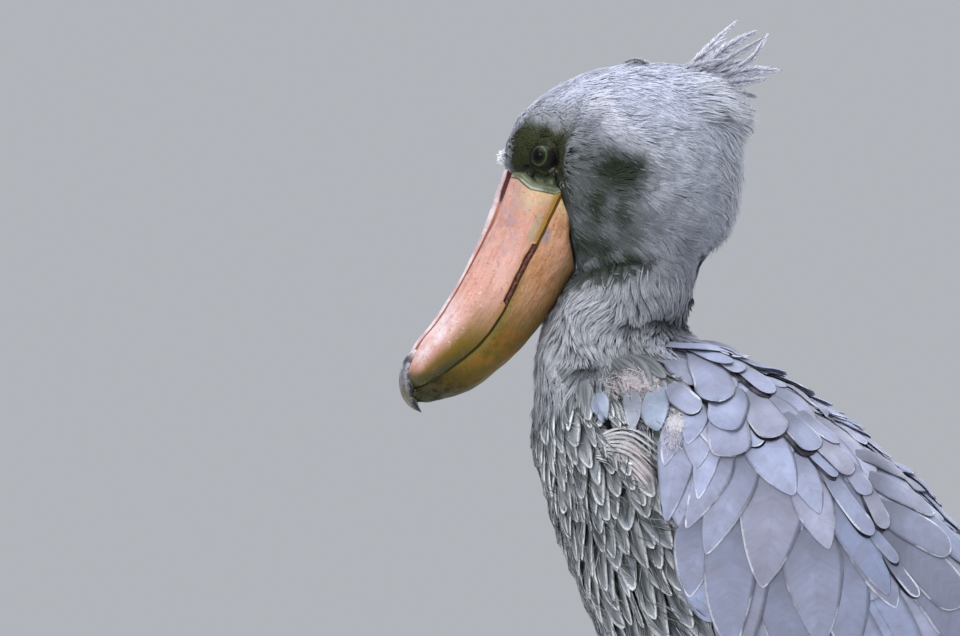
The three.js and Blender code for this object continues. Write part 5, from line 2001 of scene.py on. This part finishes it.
def upper_horn():
    """The upper bill, with a slit for the nostril and a crease along each side of its keel."""
    form = horn(upper_section, UPPER_EDGE, UPPER_TIP)

    def at(t, angle):
        p = form(t, angle)
        _, a, d = to_bill(p)
        mouth = mouth_line(bill_share(a))
        return p + BILL_UP * (4.0 * mouth_strip(a) * step(mouth + 9, mouth, d))[..., None]

    verts, faces = sleeve(at, 220, 240)
    x, a, d = to_bill(verts)
    share = bill_share(a)
    near = x / keel_width(a)
    slit = np.exp(-(((near - 1.35) / 0.3) ** 2)) * step(13, 20, a) * step(50, 30, a) * (d > 35)
    crease = np.exp(-(((near - 1.6) / 0.25) ** 2)) * step(40, 60, a) * step(222, 200, a)
    crease = crease * (d > mouth_line(share) + 14)
    verts = verts - BILL_UP * (3.0 * slit + 0.8 * crease)[:, None]
    verts = verts + BILL_UP * (0.35 * waves(verts, 18, 41) * step(5, 20, a))[:, None]
    ob = bill_object("bill_horn_upper", verts, faces, ridge_line, mouth_line, UPPER_EDGE)
    strip = (ridge_line(share) - d) / np.maximum(keel_height(a), 1)
    wall = step(0.5, 0.65, strip) * step(1.35, 1.1, strip) * step(3.2, 2.4, near)
    point_value(ob, "slit", wall * step(11, 16, a) * step(52, 30, a))
    place(ob, "bill_horn", upper_material(), "bill_upper")


def lower_horn():
    verts, faces = sleeve(horn(lower_section, LOWER_EDGE, LOWER_TIP), 180, 200)
    middle = in_bill(0, to_bill(verts)[1], -30.0)
    verts = verts + unit(verts - middle) * (0.3 * waves(verts, 14, 42))[:, None]
    ob = bill_object("bill_horn_lower", verts, faces, mouth_line, chin_line, LOWER_EDGE)
    place(ob, "bill_horn_dark", lower_material(), "bill_lower")


def mouth_lining():
    """The dark inside of the mouth, seen only as a line between the two halves of the bill."""

    def at(t, angle):
        a = lerp(-2, 219, t)
        share = bill_share(a)
        inset = lerp(lerp(0.99, 0.982, step(40, 120, a)), 0.965, mouth_strip(a))
        half = bill_width(share) * BILL_HALF * inset
        x = half * np.sign(np.cos(angle)) * np.abs(np.cos(angle)) ** 0.3
        depth = lerp(2.0, 5.5, mouth_strip(a))
        d = mouth_line(share) + lerp(0.2, 2.0, mouth_strip(a)) + depth * np.sin(angle)
        ends = np.minimum(1, np.minimum(t, 1 - t) * 60)
        return in_bill(x * ends, a, d)

    ob = bill_object("mouth_lining", *sleeve(at, 60, 160), mouth_line, chin_line, LOWER_EDGE)
    place(ob, "bill_horn_dark", lining_material())


# The hooked nail: its middle line, its half width and half height, and its inner edge, as a against d.
nail_line = curve([[188, 17], [201, 15.6], [213, 12.8], [224, 7.0], [233.5, -1.5], [238, -12], [240, -22.5]])
nail_size = curve([[0, 0], [8, 4.8], [11.5, 7.2], [12, 7.8], [10, 6.4], [6, 4.2], [0, 0]])
NAIL_EDGE = ([-22, -12, -6, 2, 9, 14], [237, 233.3, 228.7, 220.5, 214.4, 206.5])


def nail():
    def at(t, angle):
        c, size = nail_line(t), np.maximum(nail_size(t), 0)
        ahead = unit(nail_line(t + 0.02) - nail_line(t - 0.02))
        wide, tall = size[..., 0] * np.cos(angle), size[..., 1] * np.sin(angle)
        keel = 1.2 * np.exp(-((np.cos(angle) / 0.3) ** 2)) * (np.sin(angle) > 0)
        keel = keel * step(0, 0.2, t) * step(1, 0.8, t)
        tall = np.where(tall > 0, tall * 0.86, tall) + 0.8 * keel
        return in_bill(wide, c[..., 0] - ahead[..., 1] * tall, c[..., 1] + ahead[..., 0] * tall)

    verts, faces = sleeve(at, 64, 70)
    ob = mesh_object("nail_horn", verts, faces)
    _, a, d = to_bill(verts)
    point_value(ob, "bill_a", a)
    point_value(ob, "bill_up", a - np.interp(d, *NAIL_EDGE))
    place(ob, "nail_horn", nail_material(), "bill_nail")


def bill_grain(n, lengthways, across):
    """Noise drawn out along the bill."""
    a, h, x = (n.value("bill_" + key) for key in "ahx")
    where = n.vector(n.times(a, lengthways), n.times(h, across), n.times(x, lengthways * 2))
    return n.noise(1.0, 5, 0.65, where)


def upper_material():
    n = Nodes("upper_bill")
    a, h, x, up, edge, strip = (n.value("bill_" + key) for key in ("a", "h", "x", "up", "edge", "strip"))
    big, mid, fine, blotch = n.noise(22, 4), n.noise(70, 6, 0.62), n.noise(340, 6, 0.6), n.noise(46, 5, 0.7)
    grain = bill_grain(n, 0.05, 16.0)
    off_keel = (x, 2.0, 2.8)
    lip = Paint(n, "lip", "pale lip", (mid, 0.36, 0.62))
    lip.over("lip shade", (edge, 1.6, 0.4, 0.0, 0.8))
    paint = Paint(n, "brick", "salmon", (big, 0.38, 0.6))
    paint.over("shell", (a, 50, 105, 0.0, 0.7))
    paint.over("rust", (grain, 0.48, 0.66, 0.0, 0.5))
    bloom = ((a, 8, 26), (a, 110, 60), (h, 0.25, 0.45), (h, 0.95, 0.75))
    paint.over("grey bloom", *bloom, (mid, 0.42, 0.58, 0.1, 0.75))
    paint.over("pale blotch", (blotch, 0.54, 0.68, 0.0, 0.4))
    paint.over("cream", (edge, 40, 4), (h, 0.8, 0.35), (mid, 0.36, 0.54, 0.15, 0.9))
    paint.over("slate", (edge, 30, 8), (blotch, 0.46, 0.4), 0.6)
    paint.over("ochre", (up, 10, 3), (mid, 0.3, 0.5, 0.35, 0.95), (a, 160, 40, 0.55, 1.0))
    paint.over("sage", (up, 4, 8), (up, 15, 10), (a, 24, 32), (a, 62, 50, 0.0, 0.7))
    # Real wear and a painted highlight: the upper bill is paler along its upper middle, partly worn white
    # horn, partly a painted reflection.
    paint.over("white wear and painted highlight", (a, 120, 165), (a, 214, 196), (h, 0.45, 0.75), (mid, 0.36, 0.6, 0.3, 1.0), 0.85)
    paint.over("olive", (a, 95, 170), (h, 0.62, 0.3), (mid, 0.2, 0.5, 0.75, 1.0))
    paint.over("deep olive", (a, 130, 200), (up, 17, 2), 0.95)
    paint.over("dark tip", (a, 206, 220), (up, 30, 14), 0.85)
    flecks = ((a, 95, 120), (a, 200, 170), (h, 0.3, 0.5))
    paint.over("pale flecks", *flecks, (n.noise(210, 6, 0.7), 0.56, 0.72, 0.0, 0.8))
    keel = Paint(n, "keel", "keel shade", (mid, 0.4, 0.6))
    paint.over(keel.colour, (strip, 0.9, 0.65), (x, 2.6, 2.0))
    paint.over("groove", (strip, 0.6, 0.85), (strip, 1.9, 1.3), (x, 3.4, 2.6), (a, 40, 80, 0.35, 0.9))
    paint.over("slit", (n.value("slit"), 0.15, 0.5))
    # Painted shade along the crease where the two halves of the bill meet.
    paint.over("mouth crease shade", (up, 1.9, 0.7), (n.noise(150, 3), 0.35, 0.6, 0.3, 1.0))
    paint.over("edge shade", (edge, 4.9, 3.9), off_keel)
    paint.over(lip.colour, (edge, 3.6, 2.8), off_keel)
    paint.over("red pits", (fine, 0.56, 0.68, 0.0, 0.5))
    flake = n.bump(fine, 0.5, 0.0006, n.bump(mid, 0.6, 0.002, n.bump(grain, 0.4, 0.0015)))
    shine = {"Specular_IOR_Level": 0.22, "Coat_Weight": 0.25, "Coat_Roughness": 0.2}
    return n.finish(paint.colour, n.ramp(mid, 0.3, 0.7, 0.26, 0.5), flake, **shine)


def lower_material():
    n = Nodes("lower_bill")
    a, h, up, edge = (n.value("bill_" + key) for key in ("a", "h", "up", "edge"))
    big, mid, fine = n.noise(28, 4), n.noise(80, 6, 0.65), n.noise(360, 6, 0.6)
    grain = bill_grain(n, 0.06, 14.0)
    olive = Paint(n, "moss olive", "light olive", (mid, 0.35, 0.6))
    uneven = n.math("ADD", a, n.times(n.math("SUBTRACT", big, 0.5), 60.0))
    paint = Paint(n, "tan", "warm tan", (big, 0.4, 0.6))
    paint.over("peach", (a, 90, 20), 0.7)
    paint.over("umber", (grain, 0.46, 0.62, 0.0, 0.55))
    paint.over("straw", (a, 26, 8), (up, -26, -8), 0.8)
    paint.over("grey spot", (a, 32, 38), (a, 52, 44), (up, -9, -5), 0.75)
    paint.over(olive.colour, (uneven, 78, 150, 0.0, 0.92))
    paint.over("chin", (h, 0.5, 0.1), 0.6)
    paint.over("ruddy", (a, 90, 130), (a, 190, 160), (mid, 0.48, 0.6), 0.55)
    paint.over("black tip", (a, 165, 215), (mid, 0.3, 0.55, 0.45, 1.0), 0.95)
    paint.over("moss", (a, 206, 218), (mid, 0.6, 0.5), 0.5)
    paint.over("rim", (up, -7, -2.5), (a, 60, 100), (a, 200, 170, 0.0, 0.6))
    # Painted shade along the crease where the two halves of the bill meet.
    paint.over("lip crease shade", (up, -1.6, -0.5, 0.0, 0.9))
    paint.over("root", (edge, 3.0, 1.0, 0.0, 0.5))
    paint.over("brown pits", (fine, 0.54, 0.66, 0.0, 0.45))
    paint.over("tan specks", (n.noise(200, 6, 0.7), 0.58, 0.7), (a, 130, 60, 0.1, 0.4))
    flake = n.bump(fine, 0.5, 0.0006, n.bump(mid, 0.6, 0.002, n.bump(grain, 0.5, 0.0018)))
    shine = {"Specular_IOR_Level": 0.1, "Coat_Weight": 0.03, "Coat_Roughness": 0.3}
    return n.finish(paint.colour, n.ramp(mid, 0.3, 0.7, 0.38, 0.62), flake, **shine)


def lining_material():
    n = Nodes("mouth_lining")
    wet, a = n.noise(420, 4), n.value("bill_a")
    paint = Paint(n, "lining", "pale lining", (wet, 0.3, 0.7))
    paint.over("lining root", (a, 53, 51))
    paint.over("lining tip", (a, 113, 118))
    roughness = n.ramp(wet, 0.3, 0.7, 0.4, 0.65)
    return n.finish(paint.colour, roughness, n.bump(wet, 0.4, 0.0008), Specular_IOR_Level=0.15)


def nail_material():
    n = Nodes("nail")
    a, inner = n.value("bill_a"), n.value("bill_up")
    mid, fine = n.noise(95, 5, 0.6), n.noise(420, 5)
    paint = Paint(n, "nail", "pale nail", (mid, 0.4, 0.6))
    paint.over("nail point", (a, 222, 238, 0.0, 0.8))
    paint.over("nail wear", (fine, 0.55, 0.66, 0.0, 0.4))
    paint.over("nail blots", (inner, 10, 5), (n.noise(90, 3), 0.46, 0.54), 0.9)
    # Painted highlight: a pale line along the nail's inner edge.
    paint.over("nail lip highlight", (inner, 3.4, 1.8), (a, 216, 226), 0.7)
    paint.over("nail root", (a, 210, 196, 0.0, 0.9))
    normal = n.bump(fine, 0.4, 0.0005, n.bump(mid, 0.4, 0.0015))
    shine = {"Specular_IOR_Level": 0.25, "Coat_Weight": 0.2, "Coat_Roughness": 0.2}
    return n.finish(paint.colour, n.ramp(mid, 0.3, 0.7, 0.28, 0.45), normal, **shine)


def eye_material():
    n = Nodes("eye")
    off, turn, cloudy = n.value("off"), n.value("turn"), n.noise(500, 4)
    fibres = n.math("SINE", n.times(turn, 34.0))
    iris = Paint(n, "iris", "pale iris", (fibres, -1, 1, 0.2, 0.7))
    iris.over("iris cloud", (cloudy, 0.35, 0.65, 0.0, 0.5))
    iris.over("iris ring", (off, 36, 39.5), (off, 46.5, 43), 0.8)
    colour = n.mixed(n.ramp(off, 30.5, 26), iris.colour, (0.002, 0.002, 0.002))
    colour = n.mixed(n.ramp(off, 47, 50), colour, (0.012, 0.011, 0.009))
    return n.finish(colour, n.ramp(cloudy, 0.3, 0.7, 0.24, 0.3), Specular_IOR_Level=0.1)


def eyes():
    material = eye_material()
    for side, label in ((1, "left"), (-1, "right")):
        centre, looks, level, rise = eye_frame(side)

        def at(t, angle, centre=centre, looks=looks, level=level, rise=rise):
            off_axis = t * np.pi
            r = EYE_RADIUS + 0.9 * step(0.85, 0.0, off_axis)
            around = level * np.cos(angle)[..., None] + rise * np.sin(angle)[..., None]
            way = looks * np.cos(off_axis)[..., None] + around * np.sin(off_axis)[..., None]
            return centre + way * r[..., None]

        verts, faces = sleeve(at, 72, 80)
        ob = mesh_object(f"eyeball_{label}", verts, faces)
        way = unit(verts - centre)
        point_value(ob, "off", np.degrees(np.arccos(np.clip(way @ looks, -1, 1))))
        point_value(ob, "turn", np.arctan2(way @ rise, way @ level))
        place(ob, "eye_glass", material, f"eye_{label}")


def leg_material(name, base, pale):
    n = Nodes(name)
    where = n.make("TexCoord").outputs["Object"]
    cells = n.make("TexVoronoi", settings={"feature": "DISTANCE_TO_EDGE"}, Scale=230.0)
    n.link(where, cells.inputs["Vector"])
    edge = cells.outputs["Distance"]
    fine = n.noise(700, 4)
    colour = n.mixed(n.ramp(edge, 0.02, 0.16), base * 0.35, base)
    colour = n.mixed(n.ramp(fine, 0.45, 0.7, 0.0, 0.4), colour, pale)
    normal = n.bump(fine, 0.2, 0.0003, n.bump(n.ramp(edge, 0.0, 0.2), 0.7, 0.0009))
    return n.finish(colour, n.ramp(edge, 0.0, 0.2, 0.7, 0.48), normal)


# Shin and tarsus: y, z, half width, and depth before and behind. LEG_MIDDLE is the middle's y at LEG_HEIGHTS.
SHIN_ROWS = [
    [FOOT_Y + 31, 356, 0, 0, 0],
    [FOOT_Y + 31, 348, 9, 10, 10],
    [FOOT_Y + 32, 320, 9, 10, 10],
    [FOOT_Y + 34, 284, 10, 11, 11],
    [FOOT_Y + 34, HOCK + 6, 15, 16, 14],
    [FOOT_Y + 34, HOCK - 16, 0, 0, 0],
]
TARSUS_ROWS = [
    [FOOT_Y + 34, HOCK + 8, 0, 0, 0],
    [FOOT_Y + 34, HOCK - 2, 14, 15, 13],
    [FOOT_Y + 30, HOCK - 34, 10, 12, 11],
    [FOOT_Y + 20, 150, 9, 11, 10],
    [FOOT_Y + 8, 60, 10, 11, 10],
    [FOOT_Y + 1, 22, 13, 14, 13],
    [FOOT_Y, 1, 0, 0, 0],
]
LEG_HEIGHTS, LEG_MIDDLE = [0, HOCK, 360], [FOOT_Y, FOOT_Y + 34, FOOT_Y + 31]
TARSUS_SCUTE, TOE_SCUTE = 7.5, 5.0
# Toes: degrees from straight ahead outwards, length, and the number of joints.
TOES = [("hind", 168, 78, 1), ("inner", -24, 122, 2), ("middle", 2, 168, 3), ("outer", 38, 134, 4)]
CLAW_LENGTH, CLAW_SUNK = 21, 7
claw_height, claw_size = curve([5, 6, 5.5, 1.2]), curve([0, 3.6, 2.8, 0])


def leg_piece(side, label, name, rows, material):
    """A shin, or a tarsus with broad scutes down its front."""
    x = side * FOOT_X
    verts, faces = Body(rows, np.array([0, 1.0, 0])).mesh(40, 160, 0.0, x)
    if name == "tarsus":
        middle = np.interp(verts[:, 2], LEG_HEIGHTS, LEG_MIDDLE)
        scutes = np.abs(np.sin(verts[:, 2] * np.pi / TARSUS_SCUTE)) ** 0.5
        raised = np.where(verts[:, 1] < middle, 0.7 * (scutes - 0.7), 0.0)
        centre = np.stack([np.full(len(verts), x), middle, verts[:, 2]], 1)
        verts = verts + unit(verts - centre) * raised[:, None]
    verts[:, 2] = np.maximum(verts[:, 2], 0.2)
    place(mesh_object(f"{name}_scaled_{label}", verts, faces), "leg_skin", material, f"{name}_{label}")


def toe_and_claw(side, label, name, turn, length, joints, leg, claw):
    turn = np.radians(turn)
    ahead = np.array([side * np.sin(turn), -np.cos(turn), 0])
    across = np.cross(Z, ahead)
    start = np.array([side * FOOT_X, FOOT_Y, 0.0])
    rings = 2 * joints + 2

    def toe_at(t, angle):
        swell = 1.02 + 0.1 * np.cos(t * rings * np.pi)
        scute = 0.35 * np.abs(np.sin(t * length * np.pi / TOE_SCUTE)) ** 0.6 * (np.sin(angle) > 0.2)
        ends = np.minimum(1, np.sqrt(np.maximum(np.minimum(t * 14, (1 - t) * 10), 0)))
        r = (lerp(9.0, 5.5, t) * swell + scute) * ends
        c = start + ahead * (length * t)[..., None] + Z * lerp(9.0, 5.1, t)[..., None]
        p = c + across * (r * np.cos(angle))[..., None] + Z * (r * np.sin(angle))[..., None]
        p[..., 2] = np.maximum(p[..., 2], 0.0)
        return p

    def claw_at(t, angle):
        r = np.maximum(claw_size(t), 0.05)
        reach = length - CLAW_SUNK + CLAW_LENGTH * t
        c = start + ahead * reach[..., None] + Z * claw_height(t)[..., None]
        return c + across * (0.8 * r * np.cos(angle))[..., None] + Z * (r * np.sin(angle))[..., None]

    toe_object = mesh_object(f"toe_scaled_{name}_{label}", *sleeve(toe_at, 28, 110))
    place(toe_object, "leg_skin", leg, f"toe_{name}_{label}")
    claw_object = mesh_object(f"claw_horn_{name}_{label}", *sleeve(claw_at, 20, 30))
    place(claw_object, "nail_horn", claw, f"claw_{name}_{label}")


def legs():
    leg = leg_material("leg_scales", linear(84, 86, 92), linear(128, 126, 122))
    claw = leg_material("claw_horn", linear(62, 60, 58), linear(96, 92, 86))
    for side, label in ((1, "left"), (-1, "right")):
        leg_piece(side, label, "shin", SHIN_ROWS, leg)
        leg_piece(side, label, "tarsus", TARSUS_ROWS, leg)
        for toe in TOES:
            toe_and_claw(side, label, *toe, leg, claw)


# Putting it together
TUFT_MATERIAL = tuft_material("soft_plumage", 0.7, (0.16, 0.165, 0.18))
NECK_MATERIAL = tuft_material("neck_plumage", 0.9, (0.22, 0.225, 0.24))
BARB_MATERIAL = tuft_material("fine_barbs", 0.3, (0.16, 0.165, 0.18))
CREST_MATERIAL = tuft_material("loose_barbs", 0.8, (0.4, 0.4, 0.42))
# Vanes: the rim's colour, width and share, the shaft's colour and share, the share of the dark middle, the
# strength of the coarser barbs and how broken the rim is.
VANES = {
    "covert": ((0.78, 0.81, 0.9), 2.5, 1.0, (0.24, 0.25, 0.32), 0.1, 0.0, 0.25, 0.9),
    "mantle": ((0.6, 0.62, 0.7), 2.2, 0.7, (0.2, 0.21, 0.25), 0.15, 0.0, 0.3, 0.7),
    "flight": ((0.6, 0.62, 0.7), 1.8, 0.6, (0.1, 0.1, 0.12), 0.3, 0.0, 0.3, 0.8),
    "breast": ((0.93, 0.94, 0.94), 2.9, 1.0, (0.6, 0.62, 0.64), 0.1, 0.94, 0.7, 0.1),
    "collar": ((0.62, 0.64, 0.68), 1.8, 0.5, (0.3, 0.32, 0.36), 0.1, 0.0, 0.5, 0.7),
    "belly": ((0.6, 0.61, 0.64), 1.8, 0.7, (0.4, 0.41, 0.43), 0.3, 0.2, 0.35, 0.0),
}
VANE_MATERIALS = {kind: vane_material(kind + "_vane", *looks) for kind, looks in VANES.items()}



def dress_skin(skin):
    """Colours the bare skin: the coat's markings, darker, but in full on the band at the root of the bill."""
    p = mesh_arrays(skin.data)[0]
    marks = marking(p)
    close = step(26, 20, eye_distance(p))[:, None]
    tint = lerp(marks * 0.55, linear(15, 17, 6), close * 0.9)
    band = near_line(p, BASE_BAND, 9)[:, None] * ahead_of_cheek(p)[:, None]
    point_colour(skin, "tint", lerp(tint, marks, band))
    flesh = ("head", "neck", "torso", "tail", "wing_left", "wing_right", "thigh_left", "thigh_right")
    place(skin, "plumage", skin_material(), *flesh)


skin = make_skin()
dress_skin(skin)
tree = BVHTree.FromObject(skin, bpy.context.evaluated_depsgraph_get())
upper_horn()
lower_horn()
mouth_lining()
nail()
eyes()
legs()
head_tufts(skin, tree)
neck_tufts(skin, tree)
thigh_tufts(skin)
crest()
wisps(skin)
forehead_fluff()
tail_feathers()
coat = Coat(tree)
trunk_feathers(coat)
breast_barbs(coat)
shoulder_barbs(coat)
wing_feathers(coat, 1, "left", 100)
wing_feathers(coat, -1, "right", 200)
wrist_down(coat)

# Floor, light and camera
FLOOR_SIZE = 6.0
FLOOR_DROP = 0.0005
bpy.ops.mesh.primitive_plane_add(size=FLOOR_SIZE, location=(0, 0, -FLOOR_DROP))
floor = bpy.context.object
floor.name = "floor"
n = Nodes("pale_floor")
floor.data.materials.append(n.finish(n.mixed(n.noise(3), (0.72, 0.73, 0.74), (0.76, 0.77, 0.78)), 0.8))

studio = bpy.data.worlds.new("studio")
bpy.context.scene.world = studio
studio.use_nodes = True
backdrop = studio.node_tree.nodes["Background"]
backdrop.inputs["Color"].default_value = (0.80, 0.84, 0.90, 1)
backdrop.inputs["Strength"].default_value = 0.55


def area_light(name, where, target, size, power, colour=(1, 1, 1)):
    data = bpy.data.lights.new(name, "AREA")
    data.size, data.energy, data.color = size, power, colour
    ob = bpy.data.objects.new(name, data)
    bpy.context.scene.collection.objects.link(ob)
    ob.location = where
    ob.rotation_euler = (Vector(target) - Vector(where)).to_track_quat("-Z", "Y").to_euler()


area_light("sky", (0.4, -0.3, 3.2), (0, 0, 0.8), 2.4, 95, (0.93, 0.96, 1.0))
area_light("key", (2.4, -1.6, 2.2), (0, -0.1, 0.9), 1.2, 34)
area_light("fill", (-2.2, 1.6, 1.6), (0, 0, 0.8), 1.6, 22)

# The camera looks level and straight at the bird's left side, at the middle of the picture, from far off.
CAMERA_DISTANCE = 12.0
SENSOR = 36
view_y, view_z = seen(PICTURE_WIDTH / 2, PICTURE_HEIGHT / 2)
camera_data = bpy.data.cameras.new("camera")
camera = bpy.data.objects.new("camera", camera_data)
bpy.context.scene.collection.objects.link(camera)
camera.location = (CAMERA_DISTANCE, (view_y + SHIFT[1]) * MM, view_z * MM)
camera.rotation_euler = (np.pi / 2, 0, np.pi / 2)
camera_data.sensor_width = SENSOR
camera_data.lens = SENSOR * CAMERA_DISTANCE / (PICTURE_WIDTH * PIXEL * MM)
camera_data.clip_end = 100
bpy.context.scene.camera = camera
bpy.context.scene.view_settings.view_transform = "Standard"
